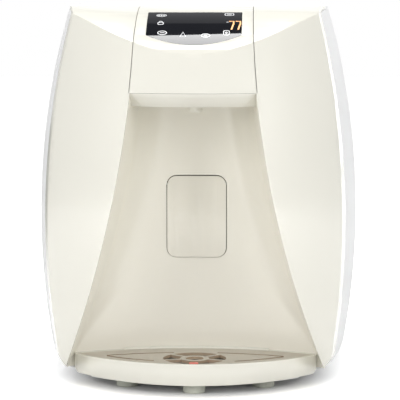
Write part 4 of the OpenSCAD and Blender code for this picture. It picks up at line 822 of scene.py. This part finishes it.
class COOLER_OT_shells(bpy.types.Operator):
    """Finishes the ivory shells of the front and the grey shells of the sides and back"""

    bl_idname = "cooler.shells"
    bl_label = "Shells"

    def execute(self, context):
        tones = finish_settings()
        ivory = moulded("ivory_gloss", tones.ivory, 0.24, coat=0.35)
        dress(["left_cheek", "right_cheek", "head_cover", "spout_housing", "drip_tray"], ivory)
        soften(["left_cheek", "right_cheek", "head_cover", "spout_housing", "drip_tray", "push_pad"],
               EDGE_ROUND)
        grey = moulded("grey_satin", tones.rear_grey, 0.55, depth=0.000004, sheen=0.12)
        dress(["rear_housing", "rear_panel"], grey)
        return {"FINISHED"}


class COOLER_OT_niche_skin(bpy.types.Operator):
    """Builds the liner of the cup niche, whose sides round into the back with no crease"""

    bl_idname = "cooler.niche_skin"
    bl_label = "Niche liner"

    def execute(self, context):
        niche = context.scene.cooler_niche
        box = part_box("niche_liner")
        hole_low = niche.hole_middle - 0.5 * niche.hole_height - niche.hole_margin
        hole_high = niche.hole_middle + 0.5 * niche.hole_height + niche.hole_margin
        heights = [*numpy.linspace(box[0].z, hole_low, ROWS_LOW),
                   *numpy.linspace(hole_low, hole_high, ROWS_MIDDLE)[1:],
                   *numpy.linspace(hole_high, box[1].z, ROWS_HIGH)[1:]]
        mesh = bmesh.new()
        rows = self.lay_rows(mesh, niche, heights)
        self.lay_faces(mesh, niche, rows, (ROWS_LOW - 1, ROWS_LOW + ROWS_MIDDLE - 2))
        thicken(mesh, niche.skin)
        tones = finish_settings()
        satin = moulded("niche_satin", tones.niche_beige, 0.30, 300.0, 0.0000010, 0.2)
        skin = finished("niche_skin", mesh, satin, FIXED)
        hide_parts("niche_liner")
        return {"FINISHED"}

    def lay_rows(self, mesh, niche, heights):
        """Rows of points of the niche, one a height, from the left edge to the right."""
        tree = solid_tree("niche_liner")
        middle = 0.5 * niche.hole_width + niche.hole_margin
        rows = []
        for z in heights:
            line = niche_section(niche, z, front_edge(tree, z))
            cut = numpy.searchsorted(line[:, 0], middle)
            across = numpy.linspace(0.0, middle, HALF_COLUMNS + 1)
            inner = numpy.column_stack((across, numpy.interp(across, line[:cut + 1, 0], line[:cut + 1, 1])))
            outer = spaced(numpy.vstack((inner[-1:], line[cut:])), OUTER_COLUMNS)
            half = [*inner, *outer[1:]]
            places = [(-x, y) for x, y in reversed(half[1:])] + half
            rows.append([mesh.verts.new((x, y, z)) for x, y in places])
        return rows

    def lay_faces(self, mesh, niche, rows, band):
        """Faces between the rows, with the rounded opening of the push pad left out."""
        mid = len(rows[0]) // 2
        left, right = mid - HALF_COLUMNS, mid + HALF_COLUMNS
        for low in range(len(rows) - 1):
            for side in range(len(rows[0]) - 1):
                if band[0] <= low < band[1] and left <= side < right:
                    continue
                under, over = rows[low], rows[low + 1]
                mesh.faces.new((under[side], under[side + 1], over[side + 1], over[side]))
        loop = [rows[band[0]][side] for side in range(left, right)]
        loop += [rows[low][right] for low in range(band[0], band[1])]
        loop += [rows[band[1]][side] for side in range(right, left, -1)]
        loop += [rows[low][left] for low in range(band[1], band[0], -1)]
        rim = []
        for vert in loop:
            x, z = on_hole(niche, vert.co.x, vert.co.z)
            y = niche.back_axis + math.sqrt(niche.back_radius ** 2 - x * x)
            rim.append(mesh.verts.new((x, y, z)))
        for index in range(len(loop)):
            after = (index + 1) % len(loop)
            mesh.faces.new((loop[index], loop[after], rim[after], rim[index]))


class COOLER_OT_band_ends(bpy.types.Operator):
    """Closes the ends of the band under the head against the walls of the niche"""

    bl_idname = "cooler.band_ends"
    bl_label = "Band ends"

    def execute(self, context):
        niche = context.scene.cooler_niche
        mesh = bmesh.new()
        for side in (-1.0, 1.0):
            self.lay_end(mesh, niche, side)
        finished("band_ends", mesh, NODES["spout_housing"].data.materials[0], FIXED)
        return {"FINISHED"}

    def lay_end(self, mesh, niche, side):
        """A wedge between the band's slanted end and the wall, its front turned aside."""
        low, high, inner, outer, tuck = 0.28465, 0.2981, 0.0490, 0.06087, 0.0003
        foot_y, wall_y, peak_y, back_y = -0.1793, -0.1690, -0.1899, -0.135
        slope = (outer - inner) / (high - low)

        def wedge(y):
            """Corners at a depth: inner foot, foot at the wall, top where end and wall meet."""
            z = low
            while z < high and inner + slope * (z - low) < side_wall(niche, y, z):
                z += 0.00005
            top = inner + slope * (z - low)
            return (inner - tuck, y, low), (side_wall(niche, y, low) + tuck, y, low), (top, y, z)

        foot, _, _ = wedge(foot_y)
        _, wall, _ = wedge(wall_y)
        _, _, peak = wedge(peak_y)
        places = [foot, wall, peak, *wedge(back_y)]
        corners = [mesh.verts.new((side * x, y, z)) for x, y, z in places]
        for face in ((0, 1, 2), (3, 5, 4), (0, 3, 4, 1), (1, 4, 5, 2), (2, 5, 3, 0)):
            mesh.faces.new([corners[index] for index in face])


class COOLER_OT_niche(bpy.types.Operator):
    """Finishes the push pad, the grille, the float and the nozzle"""

    bl_idname = "cooler.niche"
    bl_label = "Pad and grille"

    def execute(self, context):
        tones = finish_settings()
        # Painted light: the pad is a paler copy of the niche beige, so it looks as lit as the wall
        dress(["push_pad"], moulded("pad_painted_light_satin", shade(tones.niche_beige, 1.03), 0.30, 300.0, 0.0000010, 0.2))
        # The grille gets painted shade in its slots and a painted dark spot at its boss
        dress(["drip_grille"], slotted("grille_satin", tones.grille_beige, tones.slot_painted_shade,
                                      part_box("drip_grille")[1].z, BOSS))
        dress(["tray_float"], moulded("float_gloss", tones.float_red, 0.3))
        dress(["spout_nozzle"], moulded("nozzle_satin", tones.ivory, 0.32))
        return {"FINISHED"}


class COOLER_OT_pad_coil(bpy.types.Operator):
    """Winds the spring behind the push pad"""

    bl_idname = "cooler.pad_coil"
    bl_label = "Pad spring"

    def execute(self, context):
        coil = context.scene.cooler_coil
        low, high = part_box("pad_spring")
        mesh = bmesh.new()
        self.wind(mesh, coil, low, high)
        steel = bare_metal("spring_steel", finish_settings().steel, 0.28)
        spring = finished("pad_coil", mesh, steel, FIXED, 60.0)
        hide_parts("pad_spring")
        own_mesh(spring)
        return {"FINISHED"}

    def wind(self, mesh, coil, low, high):
        """A round wire wound about the depth axis inside the solid spring's box."""
        half = 0.5 * coil.wire
        radius = 0.5 * (high.x - low.x) - half
        middle_x, middle_z = 0.5 * (low.x + high.x), 0.5 * (low.z + high.z)
        run = high.y - low.y - coil.wire
        steps = coil.turns * COIL_STEPS
        rings = []
        for step in range(steps + 1):
            turn = 2.0 * math.pi * step / COIL_STEPS
            outward = Vector((math.cos(turn), 0.0, math.sin(turn)))
            place = Vector((middle_x, low.y + half + run * step / steps, middle_z)) + outward * radius
            ring = []
            for side in range(COIL_SIDES):
                around = 2.0 * math.pi * side / COIL_SIDES
                offset = outward * math.cos(around) + Vector((0.0, math.sin(around), 0.0))
                ring.append(mesh.verts.new(place + offset * half))
            rings.append(ring)
        for one, two in zip(rings, rings[1:]):
            for side in range(COIL_SIDES):
                after = (side + 1) % COIL_SIDES
                mesh.faces.new((one[side], one[after], two[after], two[side]))
        mesh.faces.new(rings[0])
        mesh.faces.new(rings[-1])


class COOLER_OT_panel_glass(bpy.types.Operator):
    """Finishes the touch panel and draws the signs under it"""

    bl_idname = "cooler.panel_glass"
    bl_label = "Touch panel"

    def execute(self, context):
        tones = finish_settings()
        marks = context.scene.cooler_marks
        dress(["control_glass"], panel_glass("panel_black", tones.glass_black))
        glass = solid_tree("control_glass")
        white = lit_mark("sign_white", tones.mark_white, 0.28)
        amber = lit_mark("figure_amber", tones.mark_amber, 0.8)
        signs = draped(sign_lines(), marks.stroke, glass, marks)
        finished("panel_signs", signs, white, FIXED)
        figures = draped(figure_lines(), marks.bold, glass, marks)
        finished("panel_figures", figures, amber, FIXED)
        return {"FINISHED"}


class COOLER_OT_feet(bpy.types.Operator):
    """Finishes the soft feet and the other rubber pieces"""

    bl_idname = "cooler.feet"
    bl_label = "Feet"

    def execute(self, context):
        tones = finish_settings()
        dress(["front_feet", "rear_feet"], soft_rubber("foot_rubber", tones.foot_grey))
        dress(["compressor_grommets", "drain_cap"],
              soft_rubber("dark_rubber", shade(tones.dark_plastic, 1.2)))
        return {"FINISHED"}


class COOLER_OT_insides(bpy.types.Operator):
    """Finishes the pieces behind the shells"""

    bl_idname = "cooler.insides"
    bl_label = "Inside"

    def execute(self, context):
        tones = finish_settings()
        # Painted shade: the dark brown bracket shows as the shaded gap round the push pad
        dress(["pad_bracket"], moulded("bracket_gap_shade", tones.bracket_gap_shade, 0.5))
        dress(["tank_shelf", "base_pan", "fan_frame", "fan_rotor", "cold_lid", "hot_lid",
               "filter_cartridge", "drain_spigot", "valve_block"],
              moulded("white_moulding", tones.white_plastic, 0.36))
        dress(["inlet_hose", "feed_hose", "transfer_hose", "cold_hose", "hot_hose", "drain_hose"],
              moulded("white_hose", tones.white_plastic, 0.45))
        dress(["pad_switch", "power_inlet", "switch_bezel", "valve_coils", "power_supply"],
              moulded("dark_moulding", tones.dark_plastic, 0.4))
        dress(["switch_plunger", "power_rocker"], moulded("red_moulding", tones.float_red, 0.35))
        dress(["inlet_fitting"], moulded("grey_moulding", tones.grey_plastic, 0.4))
        dress(["filter_head"], moulded("blue_moulding", tones.blue_plastic, 0.35))
        dress(["touch_board", "control_board"], circuit("circuit_green", tones.board_green))
        dress(["pad_pin", "pad_spring", "cold_tank", "hot_tank"],
              bare_metal("steel_bright", tones.steel, 0.28))
        dress(["panel_screws"], bare_metal("zinc_plate", tones.zinc, 0.36))
        dress(["condenser"], bare_metal("aluminium_fins", tones.aluminium, 0.32))
        dress(["discharge_line", "suction_line"], bare_metal("copper_tube", tones.copper, 0.3))
        dress(["compressor"], moulded("black_enamel", tones.enamel, 0.25, coat=0.4))
        dress(["cold_jacket", "hot_jacket"], foamed("white_foam", tones.foam))
        return {"FINISHED"}


class COOLER_PT_sidebar(bpy.types.Panel):
    """Lists the steps that dress the cooler"""

    bl_idname = "COOLER_PT_sidebar"
    bl_label = "Water cooler"
    bl_space_type = "VIEW_3D"
    bl_region_type = "UI"
    bl_category = "Cooler"

    def draw(self, context):
        for step in STEPS:
            self.layout.operator(step.bl_idname)


SETTINGS = (CoolerStageSettings, CoolerNicheSettings, CoolerCoilSettings, CoolerMarkSettings,
            CoolerFinishSettings)
STEPS = (COOLER_OT_stage, COOLER_OT_shells, COOLER_OT_niche_skin, COOLER_OT_band_ends, COOLER_OT_niche,
         COOLER_OT_pad_coil, COOLER_OT_panel_glass, COOLER_OT_feet, COOLER_OT_insides)
CLASSES = (*SETTINGS, *STEPS, COOLER_PT_sidebar)


def register():
    """Registers the classes and the scene's settings."""
    for entry in CLASSES:
        bpy.utils.register_class(entry)
    bpy.types.Scene.cooler_stage = PointerProperty(type=CoolerStageSettings)
    bpy.types.Scene.cooler_niche = PointerProperty(type=CoolerNicheSettings)
    bpy.types.Scene.cooler_coil = PointerProperty(type=CoolerCoilSettings)
    bpy.types.Scene.cooler_marks = PointerProperty(type=CoolerMarkSettings)
    bpy.types.Scene.cooler_finish = PointerProperty(type=CoolerFinishSettings)


def unregister():
    """Takes the settings and the classes away again."""
    del bpy.types.Scene.cooler_finish
    del bpy.types.Scene.cooler_marks
    del bpy.types.Scene.cooler_coil
    del bpy.types.Scene.cooler_niche
    del bpy.types.Scene.cooler_stage
    for entry in reversed(CLASSES):
        bpy.utils.unregister_class(entry)


def main():
    """Dresses the frame."""
    register()
    for step in STEPS:
        group, name = step.bl_idname.split(".")
        getattr(getattr(bpy.ops, group), name)()


if __name__ == "__main__":
    main()
